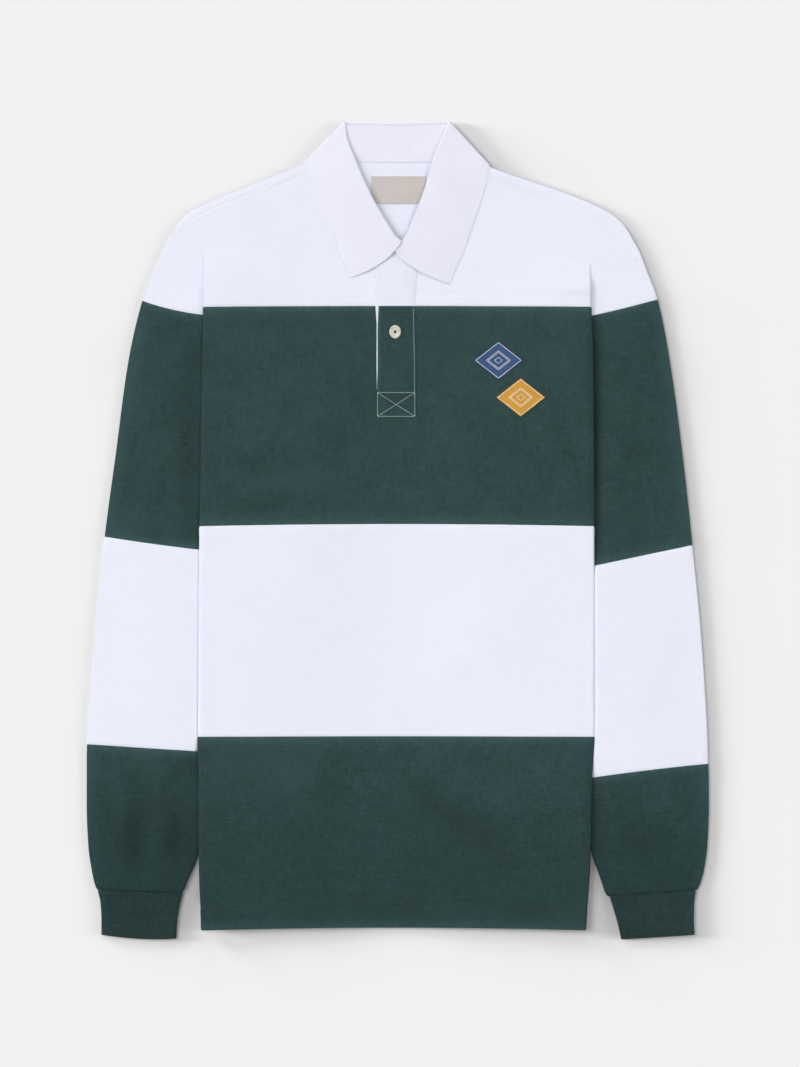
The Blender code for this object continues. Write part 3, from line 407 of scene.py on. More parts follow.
# Patches painted into the colour: above 0, paler where washing has faded the green; below 0, darker, mostly
# painted shade along folds and in the grooves beside the body's side folds. Columns: as the folds, with the
# change
FADES_AND_PAINTED_SHADE = (
    (64, -281, -31, 50, 13, -0.34, 4), (30, -252, -42, 24, 12, -0.20, 0), (84, -250, -36, 44, 14, 0.12, 3),
    (-111, -227, -60, 35, 22, 0.14, 0), (-64, -241, 70, 30, 20, -0.14, 4), (-122, 66, 30, 26, 14, -0.18, 0),
    (-115, 45, 4, 42, 8, 0.20, 3), (-129, 25, 8, 32, 9, -0.24, 2), (-60, 84, 55, 38, 14, -0.10, -4),
    (162, 74, -50, 24, 10, -0.20, 0), (172, 44, -62, 16, 8, -0.16, 0), (96, 92, -34, 40, 16, -0.08, 4),
    (-251, -288, 85, 34, 9, -0.42, -3), (-210, -289, 80, 28, 10, -0.36, 3),
    (-233, -303, 75, 24, 7, 0.30, 0), (-204, -228, 60, 20, 13, -0.30, 0), (-264, -262, 86, 26, 8, 0.16, 0),
    (-246, 8, 10, 25, 12, 0.16, 0), (-232, 96, 84, 60, 12, 0.10, 0), (219, 81, 70, 34, 16, -0.12, 0),
    (236, -284, -60, 30, 14, -0.14, 0), (252, -250, 80, 26, 10, 0.10, 0),
    (187.0, 98, 90.5, 135, 4.5, -1.0, 0), (184, -275, 89, 46, 6, -0.40, 0),
    (-232, 70, 90, 170, 40, -0.16, 0), (232, 70, 90, 170, 40, -0.16, 0), (-238, -290, 90, 60, 40, -0.20, 0),
    (-199, 85, 89, 125, 9, -0.26, 0), (-222, 150, 62, 40, 12, 0.10, 0), (-165, -222, 30, 45, 18, 0.14, 0),
    (140, -222, -20, 60, 16, 0.12, 0),
)

# Colours, as light that each surface gives back
WHITE = (0.757, 0.772, 0.872)
TWILL = (0.792, 0.789, 0.894)
TWILL_DEEP = (0.755, 0.750, 0.856)
GREEN = (0.0285, 0.0590, 0.0590)
LOW_GREEN = (0.0214, 0.0470, 0.0465)
SLEEVE_END_GREEN = (0.0180, 0.0420, 0.0410)
CUFF_GREEN = (0.0185, 0.0400, 0.0395)
LOW_START, LOW_END = -205, -300  # heights between which the green turns to its low colour
RUB_AND_SHADE = 0.62  # how much brighter fully worn green cloth is; it also scales the painted shade and painted light given with the wear
WHITE_RUB_AND_SHADE = 0.012  # the same for white cloth
FOLD_PAINTED_LIGHT = 9.0  # painted light on the white cloth beside the body's fold, given with its wear, which lifts it out of its own shadow
FOLD_PAINTED_LIGHT_WIDTH = 2.2
COOL_TINT = (0.90, 0.99, 1.05)
STRIP_DEEP = (0.75, 0.76, 0.87)
ECRU = (0.68, 0.65, 0.57)
BEIGE = (0.625, 0.575, 0.555)
BEIGE_DEEP = (0.52, 0.47, 0.41)
BLUE = (0.045, 0.095, 0.205)
BLUE_DEEP = (0.030, 0.065, 0.150)
MUSTARD = (0.62, 0.32, 0.045)
MUSTARD_DEEP = (0.50, 0.24, 0.03)
WHITE_THREAD = (0.90, 0.90, 0.95)
GREEN_THREAD = (0.030, 0.055, 0.052)
PALE_THREAD = (0.78, 0.93, 0.90)
FLOOR_TONE = 0.883  # how bright the floor comes out away from the shirt

# Light: the studio's even glow, the key light, a soft light over the shirt alone, and what reaches the floor
# from low down on each side. Columns: light given to a level surface, or share of all the floor's light, then
# elevation, azimuth anticlockwise from +X, and angle of each source
GLOW = 0.34
KEY = (0.29, 47, 165, 34)
OVERHEAD = (0.49, 78, 60, 80)
LOW_LIGHTS = (
    (0.225, 7.4, 172, 13),
    (0.14, 9.0, 142, 18),
    (0.11, 14, 0, 22),
    (0.04, 13, 90, 24),
    (0.03, 26, 270, 34),
)

# Camera: straight above, at the photograph's scale
PIXEL = 0.945
PICTURE = (800, 1067)
PICTURE_CENTRE = (2.1, -3.4)
CAMERA_HEIGHT = 6000
SENSOR = 36.0
FLOOR_SIZE = 20


def ease(share):
    """0 to 1 with a level start and end."""
    share = np.clip(share, 0.0, 1.0)
    return share * share * (3 - 2 * share)


def mix(start, end, share):
    return start + (end - start) * share


def bell(distance, width):
    """1 at no distance, falling to almost nothing at twice the width."""
    return np.exp(-((distance / width) ** 2))


def bow(part):
    """1 in the middle of a line and 0 at both ends, at this share of its length."""
    return 4 * part * (1 - part)


def through(keys, values, at):
    """Values on a smooth curve that doesn't swing past its points. The keys rise."""
    keys, values = np.array(keys, float), np.array(values, float)
    slopes = np.diff(values) / np.diff(keys)
    product = slopes[:-1] * slopes[1:]
    total = np.where(product > 0, slopes[:-1] + slopes[1:], 1.0)
    ends = np.concatenate([slopes[:1], np.where(product > 0, 2 * product / total, 0.0), slopes[-1:]])
    at = np.clip(at, keys[0], keys[-1])
    row = np.clip(np.searchsorted(keys, at) - 1, 0, len(slopes) - 1)
    step = keys[row + 1] - keys[row]
    share = (at - keys[row]) / step
    bends = share * (1 - share) ** 2 * step * ends[row] + share**2 * (share - 1) * step * ends[row + 1]
    return mix(values[row], values[row + 1], ease(share)) + bends


def read(table, height, column=1):
    """A column of a table whose heights fall."""
    rows = table[::-1]
    return through([row[0] for row in rows], [row[column] for row in rows], height)


def across(table, side, height):
    """The left's or the right's column of a table."""
    return read(table, height, 1 + COLUMN[side])


def place(x, y, z=0.0):
    """Points from their coordinates, whose shapes may differ."""
    return np.stack(np.broadcast_arrays(x, y, z), axis=-1).astype(float)


def unit(vectors):
    return vectors / np.maximum(np.linalg.norm(vectors, axis=-1, keepdims=True), 1e-9)


def by_side(function, x, y):
    """A function of side, X and Y at places on both sides."""
    x, y = np.broadcast_arrays(np.asarray(x, float), np.asarray(y, float))
    return np.where(x < 0, function(LEFT, x, y), function(RIGHT, x, y))


def outline_normal(side, height):
    """Outward direction at the shoulder's or the sleeve's outer fold, with X counted outward."""
    step = 2.0
    run = across(OUTLINE, side, height + step) - across(OUTLINE, side, height - step)
    return unit(place(2 * step, -run))


# Heights of the middle surface between the front and the back


def cover(out, edge):
    """1 where cloth lies on what reaches in to this edge, easing to 0 further in."""
    return ease(1 + (out - edge) / DRAPE)


def crease_turn(side, height):
    """How far the yoke's crease is turned: 0 at its top and half a turn where it is folded flat."""
    return math.pi * ease((CREASE_TOP[side] - height) / CREASE_RUN)


def bend_radius(turn):
    return np.maximum(LAYER / 2, CREASE_START / np.maximum(turn, FLAT_TURN))


def tuck_run(side, height):
    """Width of the cloth between the crease's two bends."""
    depth = across(FOLD, side, height) - across(TUCK, side, height)
    return np.maximum(depth - 2 * (LAYER / 2 + BASE), LEAST_RUN)


def crease_drop(side, height):
    """How far the front lies above the table where the yoke's crease folds it under."""
    turn = crease_turn(side, height)
    return 2 * bend_radius(turn) * (1 - np.cos(turn)) + tuck_run(side, height) * np.sin(turn)


def sleeve_edge(side, height):
    above = across(TUCK, side, height)
    return np.where(height > UNDERARM[0][0], above, across(UNDERARM, side, height)) - SLEEVE_CLEARANCE


def neck_lift(out, height):
    rise = ease((height - NECK_LIFT_START) / NECK_LIFT_RUN)
    return PLY * rise * ease((NECK_LIFT_END - out) / NECK_LIFT_FADE)


def tucked_height(side, out, height):
    return BASE + LAYER * cover(out, sleeve_edge(side, height))


def panel_height(side, out, height):
    tuck = across(TUCK, side, height)
    covered = (cover(out, tuck) + cover(out, tuck - SLEEVE_CLEARANCE)) / 2
    above = BASE + crease_drop(side, height) * covered + neck_lift(out, height)
    below = tucked_height(side, out, height) + LAYER * cover(out, tuck)
    return np.where(height > YOKE_SEAM, above, below)


def seam_rise(out, height):
    return read(SEAM_RISE, height) * np.maximum(0.0, 1 - (out / BOW_WIDTH) ** 2)


def panel_at(x, y):
    """Height of the middle surface at places on the body."""
    return by_side(lambda side, x, y: panel_height(side, side * x, y), x, y)


# Folds of the cloth, which lift it and never press it into what it lies on


def folds(table, x, y):
    lift = 0.0
    for middle_x, middle_y, direction, length, width, height, bend in table:
        angle = math.radians(direction)
        along = ((x - middle_x) * math.cos(angle) + (y - middle_y) * math.sin(angle)) / length
        beside = (y - middle_y) * math.cos(angle) - (x - middle_x) * math.sin(angle)
        beside = (beside - bend * along**2) / (width * (1 + FOLD_TAPER * along))
        lift = lift + height * np.exp(-(beside**2) - along**2)
    return lift


def held_flat(x, y, zone):
    start, run, half_width, side_run = zone
    return 1 - ease((y - start) / run) * ease((half_width - np.abs(x)) / side_run)


def flat_zone(x, y):
    """0 where the collar and the placket hold the front flat, else 1, and less in the yoke."""
    calm, start, run = CALM_YOKE
    held = held_flat(x, y, FLAT_BY_COLLAR) * held_flat(x + 1, y, FLAT_BY_PLACKET)
    return held * (1 - calm * ease((y - start) / run))


def hem_fade(y):
    """1 over most of the front and back, easing to less by the hem, which lies flat."""
    return mix(HEM_FOLDS, 1, ease((y - BANDS["lower_green"][1]) / HEM_FLAT))


def side_fade(side, out, height):
    """0 at the body's side fold, easing to 1 inside it."""
    return ease((across(FOLD, side, height) - SIDE_REST - out) / SIDE_FADE)


def back_lift(side, x, y):
    """How far the back is lifted, the same on both sides."""
    inside = ease((BACK_FOLDS_END - np.abs(x)) / BACK_FOLDS_FADE)
    return folds(BACK_FOLDS, x, y) * flat_zone(x, y) * hem_fade(y) * inside


def front_lift(side, x, y):
    """How far the front is lifted over the plain middle surface, with what lifts the back below it."""
    own = folds(FRONT_FOLDS, x, y) * flat_zone(x, y) * hem_fade(y) * side_fade(side, np.abs(x), y)
    return own + back_lift(side, x, y)


def puff(side, out, y):
    """How far the sleeve stands up beside the body, falling slowly toward its outer fold."""
    from_body = out - across(FOLD, side, y)
    inside = across(OUTLINE, side, y) - out
    slope = ease((from_body + 1) / read(PUFF[side], y, 2))
    return read(PUFF[side], y) * slope * ease(inside / PUFF_FALL + PUFF_LEAST)


def seam_form(distance):
    """The dip at a seam and the soft ridge of its turned-in edge beside it."""
    depth, width = SEAM_DIP
    height, start, reach, run = SEAM_RIDGE
    return height * ease(distance / start) * ease((reach - distance) / run) - depth * bell(distance, width)


def seam_wear(distance):
    most, width = SEAM_WEAR
    return most * bell(distance, width)


def painted_fold_light(side, x, y):
    """Painted light on the white cloth on both sides of the body's side fold, given with its wear."""
    return FOLD_PAINTED_LIGHT * bell(across(FOLD, side, y) - side * x, FOLD_PAINTED_LIGHT_WIDTH)


# Grids


def shares(length, step):
    return np.linspace(0, 1, max(2, round(length / step) + 1))


def span(start, end, step, fine=()):
    """Heights from start down to end, closer together by both ends where fine gives distances."""
    whole = start - shares(start - end, step) * (start - end)
    near = [start - distance for distance in fine] + [end + distance for distance in fine]
    least = max(fine, default=0) + step / 3
    inner = [height for height in whole if min(start - height, height - end) > least]
    return np.array(sorted({start, end, *near, *inner}, reverse=True))


def laid(grid, distance):
    """A grid moved off the middle surface by this much, with Y kept at each point."""
    normal = -unit(np.cross(np.gradient(grid, axis=1), np.gradient(grid, axis=0)))
    size = np.maximum(normal[..., 0] ** 2 + normal[..., 2] ** 2, 0.2)
    moved = grid.copy()
    for axis in (0, 2):
        moved[..., axis] += distance * normal[..., axis] / size
    return moved


def grid_faces(rows, columns, closed=False):
    line = np.arange(rows - 1)[:, None] * columns
    column = np.arange(columns if closed else columns - 1)[None, :]
    after = (column + 1) % columns
    return np.stack([line + column, line + columns + column, line + columns + after, line + after], axis=-1)


def mesh_piece(name, points, faces, look, wear_and_painted_light=None):
    """A smooth mesh that rides on the body, in metres. Its look is a material and a slot's name, of which
    only the material is used.
    """
    material, slot = look
    data = bpy.data.meshes.new(name)
    data.from_pydata((points * MM).tolist(), [], faces.tolist())
    data.materials.append(material)
    data.shade_smooth()
    if wear_and_painted_light is not None:
        # the wear, with painted shade and painted light added to it, goes to the shader as an attribute
        attribute = data.attributes.new("wear_and_painted_light", "FLOAT", "POINT")
        attribute.data.foreach_set("value", np.ravel(wear_and_painted_light).astype(np.float32))
    piece = link(bpy.data.objects.new(name, data))
    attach(piece, "root")
    return piece


def sharpen_rim(data):
    """Keeps the cloth's cut edges crisp, so that its wall doesn't shade the face beside it."""
    edges = np.empty(len(data.loops), np.int32)
    data.loops.foreach_get("edge_index", edges)
    faces_at = np.bincount(edges, minlength=len(data.edges))
    data.attributes.new("sharp_edge", "BOOLEAN", "EDGE").data.foreach_set("value", faces_at == 1)


def cloth(node, grid, look, wear_and_painted_light=0.0, wall=WALL, closed=False, keep=None, flip=False):
    """The shell that stands for a node's cloth, from the grid at the middle of its wall.

    A closed grid is a tube. Where keep is given, only its cells are made.
    """
    faces = grid_faces(*grid.shape[:2], closed)
    faces = (faces if keep is None else faces[keep]).reshape(-1, 4)
    if flip:
        faces = faces[:, ::-1]
    used, faces = np.unique(faces, return_inverse=True)
    wear_and_painted_light = np.broadcast_to(wear_and_painted_light, grid.shape[:2]).ravel()[used]
    piece = mesh_piece(node + "_cloth", grid.reshape(-1, 3)[used], faces.reshape(-1, 4), look, wear_and_painted_light)
    sharpen_rim(piece.data)
    thickness = piece.modifiers.new("wall", "SOLIDIFY")
    thickness.thickness = wall * MM
    thickness.offset = 0
    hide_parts(node)


# Front and back


def band_half(side, heights, inner, step):
    """Middle surface of half a band, with 1 for the panel on top and 0 for the side tucked under it."""
    rows = heights[:, None]
    edge = across(FOLD, side, rows) - LAYER / 2 - BASE
    tuck = across(TUCK, side, rows)
    middle, tucked = shares(BAND_PANEL, step)[:-1], shares(BAND_SIDE, step)
    outs = np.hstack([mix(inner, tuck, middle), mix(tuck, edge, tucked)])
    z = panel_height(side, outs, rows)
    turns = BEND_TURNS[1:-1]
    bend_outs = edge + np.sin(turns) * LAYER / 2
    bend_z = z[:, -1:] - LAYER / 2 + np.cos(turns) * LAYER / 2
    under = mix(edge, tuck, shares(BAND_SIDE, step * UNDER_STEP))
    out = np.hstack([outs, bend_outs, under])
    z = np.hstack([z, bend_z, tucked_height(side, under, rows)])
    top = np.hstack([np.ones_like(outs), np.zeros_like(bend_outs), np.zeros_like(under)])
    return place(side * out, rows + seam_rise(out, rows), z), top


def band_rows(heights, slit, step):
    left, left_top = band_half(LEFT, heights, -CENTRE + slit / 2, step)
    right, right_top = band_half(RIGHT, heights, CENTRE + slit / 2, step)
    start = 0 if slit else 1
    grid = np.concatenate([left[:, ::-1], right[:, start:]], axis=1)
    return grid, np.hstack([left_top[:, ::-1], right_top[:, start:]])


def hem_form(y):
    """The hem is turned up twice as thick, below a groove at its stitches."""
    height, run = HEM_STEP
    depth, width = HEM_GROOVE
    groove = sum(bell(y - line, width) for line in HEM_STITCHES)
    return height * ease((HEM_STITCHES[1] - y) / run) - depth * groove


def around_slit(heights, grid):
    """Which cells of the upper green band are made: all but those in its slit."""
    keep = np.ones((len(heights) - 1, grid.shape[1] - 1), bool)
    middle = np.argmax(grid[0, :, 0] > CENTRE) - 1
    keep[heights[1:] >= SLIT_END, middle] = False
    return keep


def band(front, name, look):
    """One band of the front or the back, from side fold to side fold and on under the body."""
    upper, lower = BANDS[name]
    step, fine, ply = FIELD_STEP, SEAM_FINE, HALF_PLY
    if not front:
        step, fine, ply = 2 * step, fine[::2], -ply
    slit = SLIT if front and name == "upper_green" else 0
    heights = span(upper, lower, step, fine)
    if slit:
        heights = np.array(sorted({*heights, SLIT_END, SLIT_END - SLIT_POINT}, reverse=True))
    middle, top = band_rows(heights, slit, step)
    grid = laid(middle, ply)
    x, y = grid[..., 0], grid[..., 1]
    grid[..., 2] += by_side(front_lift if front else back_lift, x, y) * top
    from_seam = np.minimum(upper - heights, heights - lower)[:, None]
    form = seam_form(from_seam) + (hem_form(heights[:, None]) if name == "lower_green" else 0)
    outer = laid(grid, 1.0) - grid
    relief = form * (1 + unit(outer)[..., 2]) / 2 if front else -BACK_RELIEF * np.minimum(form, 0)
    grid += outer * relief[..., None]
    # paler worn seams, washed patches, and painted shade along folds and in the grooves beside the side folds
    wear_and_painted_light = seam_wear(from_seam) + folds(FADES_AND_PAINTED_SHADE, x, y) * top
    # painted light on the white band beside the body's side fold
    if name == "middle_white":
        wear_and_painted_light = wear_and_painted_light + by_side(painted_fold_light, x, y)
    face, below = ("front", f"back_{name}") if front else ("back", "floor")
    keep = around_slit(heights, middle) if slit else None
    cloth(f"{face}_{name}", grid, look, wear_and_painted_light, keep=keep)


def shoulder_end(side, height, inset):
    """Places this far inside the shoulder's outline, and the outline's direction there."""
    normal = outline_normal(side, height)
    return place(across(OUTLINE, side, height), height) - normal * inset, normal


def yoke_lines(side):
    """Row parameter, height and outer end of each row of the yoke, from the top stripe's seam to the neck."""
    pairs = ARMHOLE_ROWS + SHOULDER_ROWS
    rows = [pair[COLUMN[side]] for pair in pairs]
    line = np.array([*YOKE_FINE, *np.arange(YOKE_START, len(pairs) - 1, YOKE_STEP), len(pairs) - 1])
    nominal = np.interp(line, np.arange(len(pairs)), rows)
    ends, _ = shoulder_end(side, nominal, SHOULDER_TURN + SEAM / 2)
    seam = place(read(ARMHOLE[side], nominal), nominal)
    last = len(ARMHOLE_ROWS) - 1
    seam_end = place(read(ARMHOLE[side], rows[last]), rows[last])
    shoulder_start, _ = shoulder_end(side, rows[last + 1], SHOULDER_TURN + SEAM / 2)
    between = mix(seam_end, shoulder_start, np.clip(line - last, 0, 1)[:, None])
    outer = np.where((line <= last)[:, None], seam, np.where((line >= last + 1)[:, None], ends, between))
    return line, nominal, outer


def crease_steps(side, heights):
    """Steps outward and up along the yoke's crease: a bend, the run tucked under and a bend back."""
    turn = crease_turn(side, heights)
    angles = turn * np.linspace(0, 1, BEND_CELLS + 1)
    radius = bend_radius(turn)
    flat = turn < FLAT_TURN
    bend_x = np.where(flat, CREASE_START / BEND_CELLS, radius * np.diff(np.sin(angles), axis=1))
    bend_z = np.where(flat, 0.0, radius * np.diff(np.cos(angles), axis=1))
    run = tuck_run(side, heights) * np.ones((1, RUN_CELLS)) / RUN_CELLS
    run_x, run_z = run * np.cos(turn), -run * np.sin(turn)
    return np.hstack([bend_x, run_x, bend_x[:, ::-1]]), np.hstack([bend_z, run_z, bend_z[:, ::-1]])


def yoke_half(side, step, centre_rows=None):
    """Middle surface of half the yoke, through both bends of the crease and out to the armhole or shoulder.

    It starts at the neckline or, given the heights of its rows at the centre, on the centre line. The second
    value is 1 inside the crease and 0 beyond.
    """
    _, _, outer_end = yoke_lines(side)
    heights, outer = outer_end[:, 1:2], outer_end[:, 0:1]
    inner = across(NECKLINE, side, heights)
    edge = across(FOLD, side, heights) - LAYER / 2 - BASE
    tuck = across(TUCK, side, heights)
    above = heights > CREASE_TOP[side]
    edge = np.where(above, np.minimum(edge, mix(inner, outer, YOKE_EDGE)), edge)
    tuck = np.where(above, np.minimum(tuck, mix(inner, outer, YOKE_TUCK)), tuck)
    narrow = np.minimum(1.0, (outer - inner) / NARROW_YOKE)
    part = shares(YOKE_PANEL, step)
    rows = heights
    if centre_rows is not None:
        inner = side * CENTRE
        by_neck = ease((centre_rows[:, None] - NECK_ROWS[0]) / (NECK_ROWS[1] - NECK_ROWS[0]))
        turned = mix(ease(part * ROW_TURN), ease((part - 1 + NECK_TURN) / NECK_TURN), by_neck)
        rows = mix(centre_rows[:, None] + NECK_RISE * by_neck, heights, turned)
    field = mix(inner, tuck, part)
    outs = np.hstack([field, mix(tuck, edge, shares(YOKE_SIDE, step)[1:])])
    steps_x, steps_z = crease_steps(side, heights)
    crease_outs = outs[:, -1:] + np.cumsum(steps_x * narrow, axis=1)
    rest = mix(crease_outs[:, -1:], outer, shares(YOKE_REST, step)[1:])
    out = np.hstack([outs, crease_outs, rest])
    rows = np.hstack([rows + 0 * field, heights + 0 * out[:, field.shape[1]:]])
    z = panel_height(side, outs, rows[:, : outs.shape[1]])
    crease_z = z[:, -1:] + np.cumsum(steps_z, axis=1)
    z = np.hstack([z, crease_z, BASE + neck_lift(rest, heights)])
    panel = np.arange(out.shape[1]) < outs.shape[1]
    return place(side * out, rows + seam_rise(out, rows), z), panel


def shoulder_wrap(side, line, nominal):
    """The back's cloth from the underside of the shoulder round its fold to the seam on the front."""
    axis, normal = shoulder_end(side, nominal, BASE)
    axis[:, 2] = BASE + neck_lift(axis[:, 0], axis[:, 1])
    turns = BEND_TURNS[None, :, None]
    fold = axis[:, None] + (normal[:, None] * np.sin(turns) - UP * np.cos(turns)) * HALF_PLY
    width = SHOULDER_TURN - SEAM / 2 - BASE
    inset = np.linspace(0, width, WRAP_CELLS + 1)[1:][None, :, None]
    first = np.argmax(line >= len(ARMHOLE_ROWS))
    above = ease((nominal - nominal[first]) / WRAP_RISE)[:, None, None]
    form = WRAP_RELIEF * seam_form(width - inset) * ease(inset / 2) * above
    strip = axis[:, None] + UP * (HALF_PLY + form) - normal[:, None] * inset
    wrap = np.concatenate([fold, strip], axis=1)
    wrap[..., 0] *= side
    return wrap


def front_yoke(side, look):
    """The front's top white band on one side of the neck slit."""
    line, _, _ = yoke_lines(side)
    grid, panel = yoke_half(side, FIELD_STEP)
    front = laid(grid, -side * HALF_PLY)
    from_stripe = grid[..., 1] - grid[:1, :, 1]
    from_end = np.linalg.norm(grid - grid[:, -1:], axis=-1)
    on_shoulder = ease((line - len(ARMHOLE_ROWS)) / 2)[:, None]
    ending = WRAP_RELIEF * seam_form(from_end) * on_shoulder
    lift = np.where(panel, front_lift(side, front[..., 0], front[..., 1]), ending)
    front[..., 2] += lift + seam_form(from_stripe)
    returned = np.arange(grid.shape[1]) >= grid.shape[1] - len(shares(YOKE_REST, FIELD_STEP)) + 1
    front[..., 2] += returned * puff(side, np.abs(front[..., 0]), front[..., 1])
    cloth(f"front_yoke_{SIDES[side]}", front, look, flip=side == RIGHT)


def back_yoke(look):
    """The back's top white band, which wraps over both shoulders."""
    lines = {side: yoke_lines(side) for side in SIDES}
    centre_rows = (lines[LEFT][2][:, 1] + lines[RIGHT][2][:, 1]) / 2
    halves = []
    for side, (line, nominal, _) in lines.items():
        grid, panel = yoke_half(side, 2 * FIELD_STEP, centre_rows)
        back = laid(grid, side * HALF_PLY)
        back[..., 2] += back_lift(side, back[..., 0], back[..., 1]) * panel
        wrap = shoulder_wrap(side, line, nominal)
        below = line < len(ARMHOLE_ROWS)
        wrap[below] = back[below][:, -1:]
        halves.append(np.concatenate([back, wrap], axis=1))
    left, right = halves
    grid = np.concatenate([left[:, :0:-1], right], axis=1)
    wrap_columns = BEND_CELLS + 1 + WRAP_CELLS
    keep = np.ones((grid.shape[0] - 1, grid.shape[1] - 1), bool)
    keep[below[:-1], :wrap_columns] = False
    keep[below[:-1], -wrap_columns:] = False
    cloth("back_yoke", grid, look, keep=keep, flip=True)


# Sleeves


def tube(top, under, base, radius, outer_way, lift):
    """Rings of a flattened tube, over the top lines and back under the lower ones between the same ends."""
    turns = BEND_TURNS[1:-1][None, :, None]
    over = top + UP * (base + radius)
    over[..., 2] += lift
    inner = top[:, -1:] + UP * base + (UP * np.cos(turns) + INWARD * np.sin(turns)) * radius
    below = under[:, ::-1] + UP * (base - radius)
    outer = top[:, :1] + UP * base + (-UP * np.cos(turns) + outer_way[:, None] * np.sin(turns)) * radius
    return np.concatenate([over, inner, below, outer], axis=1)


def outer_fold(side, height):
    """Axis of the sleeve's outer fold."""
    height = np.asarray(height, float)
    return place(across(OUTLINE, side, height), height) - outline_normal(side, height) * BASE


def inner_fold(side, height):
    """Axis of the sleeve's inner fold, under the body."""
    return place(across(UNDERARM, side, height) + BASE, height)


def beside(line, gap):
    """A line moved sideways by this much, to its left."""
    ways = unit(np.gradient(line, axis=0))
    return line + np.stack([-ways[:, 1], ways[:, 0], 0 * ways[:, 0]], axis=-1) * gap


def travel(points):
    """Distance travelled along a line, at each of its points."""
    return np.concatenate([[0], np.cumsum(np.linalg.norm(np.diff(points, axis=0), axis=1))])


def along(points, distance):
    """Places at these distances along a line."""
    travelled = travel(points)
    return np.stack([np.interp(distance, travelled, points[:, axis]) for axis in range(3)], axis=-1)


def armhole_line(side, columns):
    """The armhole seam from the sleeve's outer fold in to the top stripe's seam."""
    column = COLUMN[side]
    heights = np.linspace(ARMHOLE_ROWS[-1][column], SLEEVE_SEAMS[side][0][1] + ARMHOLE_END, PLACES["armhole"])
    fold, _ = shoulder_end(side, SHOULDER_ROWS[0][column], BASE)
    shoulder_seam, _ = shoulder_end(side, SHOULDER_ROWS[0][column], SHOULDER_TURN)
    line = np.vstack([fold, shoulder_seam, place(read(ARMHOLE[side], heights), heights)])
    return along(line, np.linspace(0, travel(line)[-1], columns))


def stripe_corner(side):
    """Where the top stripe's seam meets the armhole."""
    height = SLEEVE_SEAMS[side][0][1]
    return place(read(ARMHOLE[side], height), height)


def cap_lines(side, rows, columns, under):
    """Rows across the cap's top or underside, from the armhole down to the top stripe's seam."""
    outer_height, _, sag = SLEEVE_SEAMS[side][0]
    start = beside(armhole_line(side, columns), -ARMHOLE_LAP)[None]
    part = np.linspace(0, 1, columns)[None, :, None]
    share = rows[:, None, None]
    seam_start = outer_fold(side, outer_height + STRIPE_GAP)
    seam_end = stripe_corner(side) + place(0, STRIPE_GAP)
    seam = mix(seam_start, seam_end, part)
    if not under:
        seam[..., 1] -= sag * bow(part[..., 0])
    outer = outer_fold(side, mix(start[0, 0, 1], seam_start[1], rows))[:, None]
    bulge = outer - mix(start[0, 0], seam_start, share)
    return mix(start, seam, share) + np.where(share > 0, bulge * (1 - part), 0)


def edge_parts(side, outer, inner, columns):
    """Shares from the outer fold to the inner one, close together at the edge of the body lying on it."""
    edge = (outer[..., :1] - across(FOLD, side, outer[..., 1:2])) / (outer[..., :1] - inner[..., :1])
    way = np.linspace(-EDGE_COLUMNS, 1 - EDGE_COLUMNS, columns)[None, :, None]
    outside = edge * (1 - (np.maximum(-way, 0) / EDGE_COLUMNS) ** EDGE_CROWDING)
    inside = (1 - edge) * (np.maximum(way, 0) / (1 - EDGE_COLUMNS)) ** EDGE_CROWDING
    return outside + inside


def rounded_end(line, outer, inner, to_end):
    """The sleeve's corners drawn in a little where it meets the cuff."""
    turned = 1 - np.clip(to_end / END_ROUNDING_RUN, 0, 1)
    squeezed = END_ROUNDING * (1 - np.sqrt(1 - 0.98 * turned**2))[:, None]
    line[..., 0] = mix(line[..., 0], (outer[..., 0] + inner[..., 0]) / 2, squeezed)


def stripe_edge(side, parts, outer_top, inner_top, sag):
    """How far the top stripe's upper edge leaves a straight line, on its way round the armhole's corner."""
    start, end = outer_fold(side, outer_top), inner_fold(side, inner_top)
    corner = stripe_corner(side) - place(0, SEAM / 2)
    share = np.clip(parts / CORNER_SHARE, 0, 1)[:, None]
    edge = mix(start, corner, share)
    edge[:, 1] -= sag * bow(share[:, 0])
    rest = np.clip((parts - CORNER_SHARE) / (1 - CORNER_SHARE), 0, 1)[:, None]
    edge = np.where(parts[:, None] < CORNER_SHARE, edge, mix(corner, end, rest))
    return edge - mix(start, end, parts[:, None])


def band_lines(side, number, rows, columns, under):
    """Rows across a sleeve band's top or underside, from its upper seam to its lower one."""
    parts = np.linspace(0, 1, columns)
    upper, lower = SLEEVE_SEAMS[side][number], SLEEVE_SEAMS[side][number + 1]
    outer_top, outer_end = upper[0] - SEAM / 2, lower[0] + SEAM / 2
    inner_top = upper[1] - SEAM / 2 if number else UNDERARM[0][0]
    outer = outer_fold(side, mix(outer_top, outer_end, rows))[:, None]
    inner = inner_fold(side, mix(inner_top, lower[1] + SEAM / 2, rows))[:, None]
    part = parts[None, :, None]
    if number == 1 and not under:
        part = edge_parts(side, outer, inner, columns)
    line = mix(outer, inner, part)
    if number == len(BANDS) - 1:
        rounded_end(line, outer, inner, (1 - rows) * (outer_top - outer_end))
    if not under:
        line[..., 1] -= mix(upper[2] if number else 0, lower[2], rows)[:, None] * bow(part[..., 0])
    if number == 0:
        edge = stripe_edge(side, parts, outer_top, inner_top, 0 if under else upper[2])
        line = line + edge[None] * (1 - rows)[:, None, None]
    return line


def fine_shares(length, step, fine):
    """Shares of a length, closer together by both ends."""
    return 1 - span(length, 0, step, fine) / length


def sleeve_lift(side, line):
    """Folds on the top of a sleeve, none where the body lies on it or at its outer fold."""
    out, y = line[..., 0], line[..., 1]
    (clear_start, clear_run), (rim_start, rim_run) = SLEEVE_CLEAR, SLEEVE_RIM
    clear = ease((out - across(FOLD, side, y) - clear_start) / clear_run)
    rim = ease((across(OUTLINE, side, y) - out - rim_start) / rim_run)
    return puff(side, out, y) + folds(SLEEVE_FOLDS[side], out, y) * clear * rim


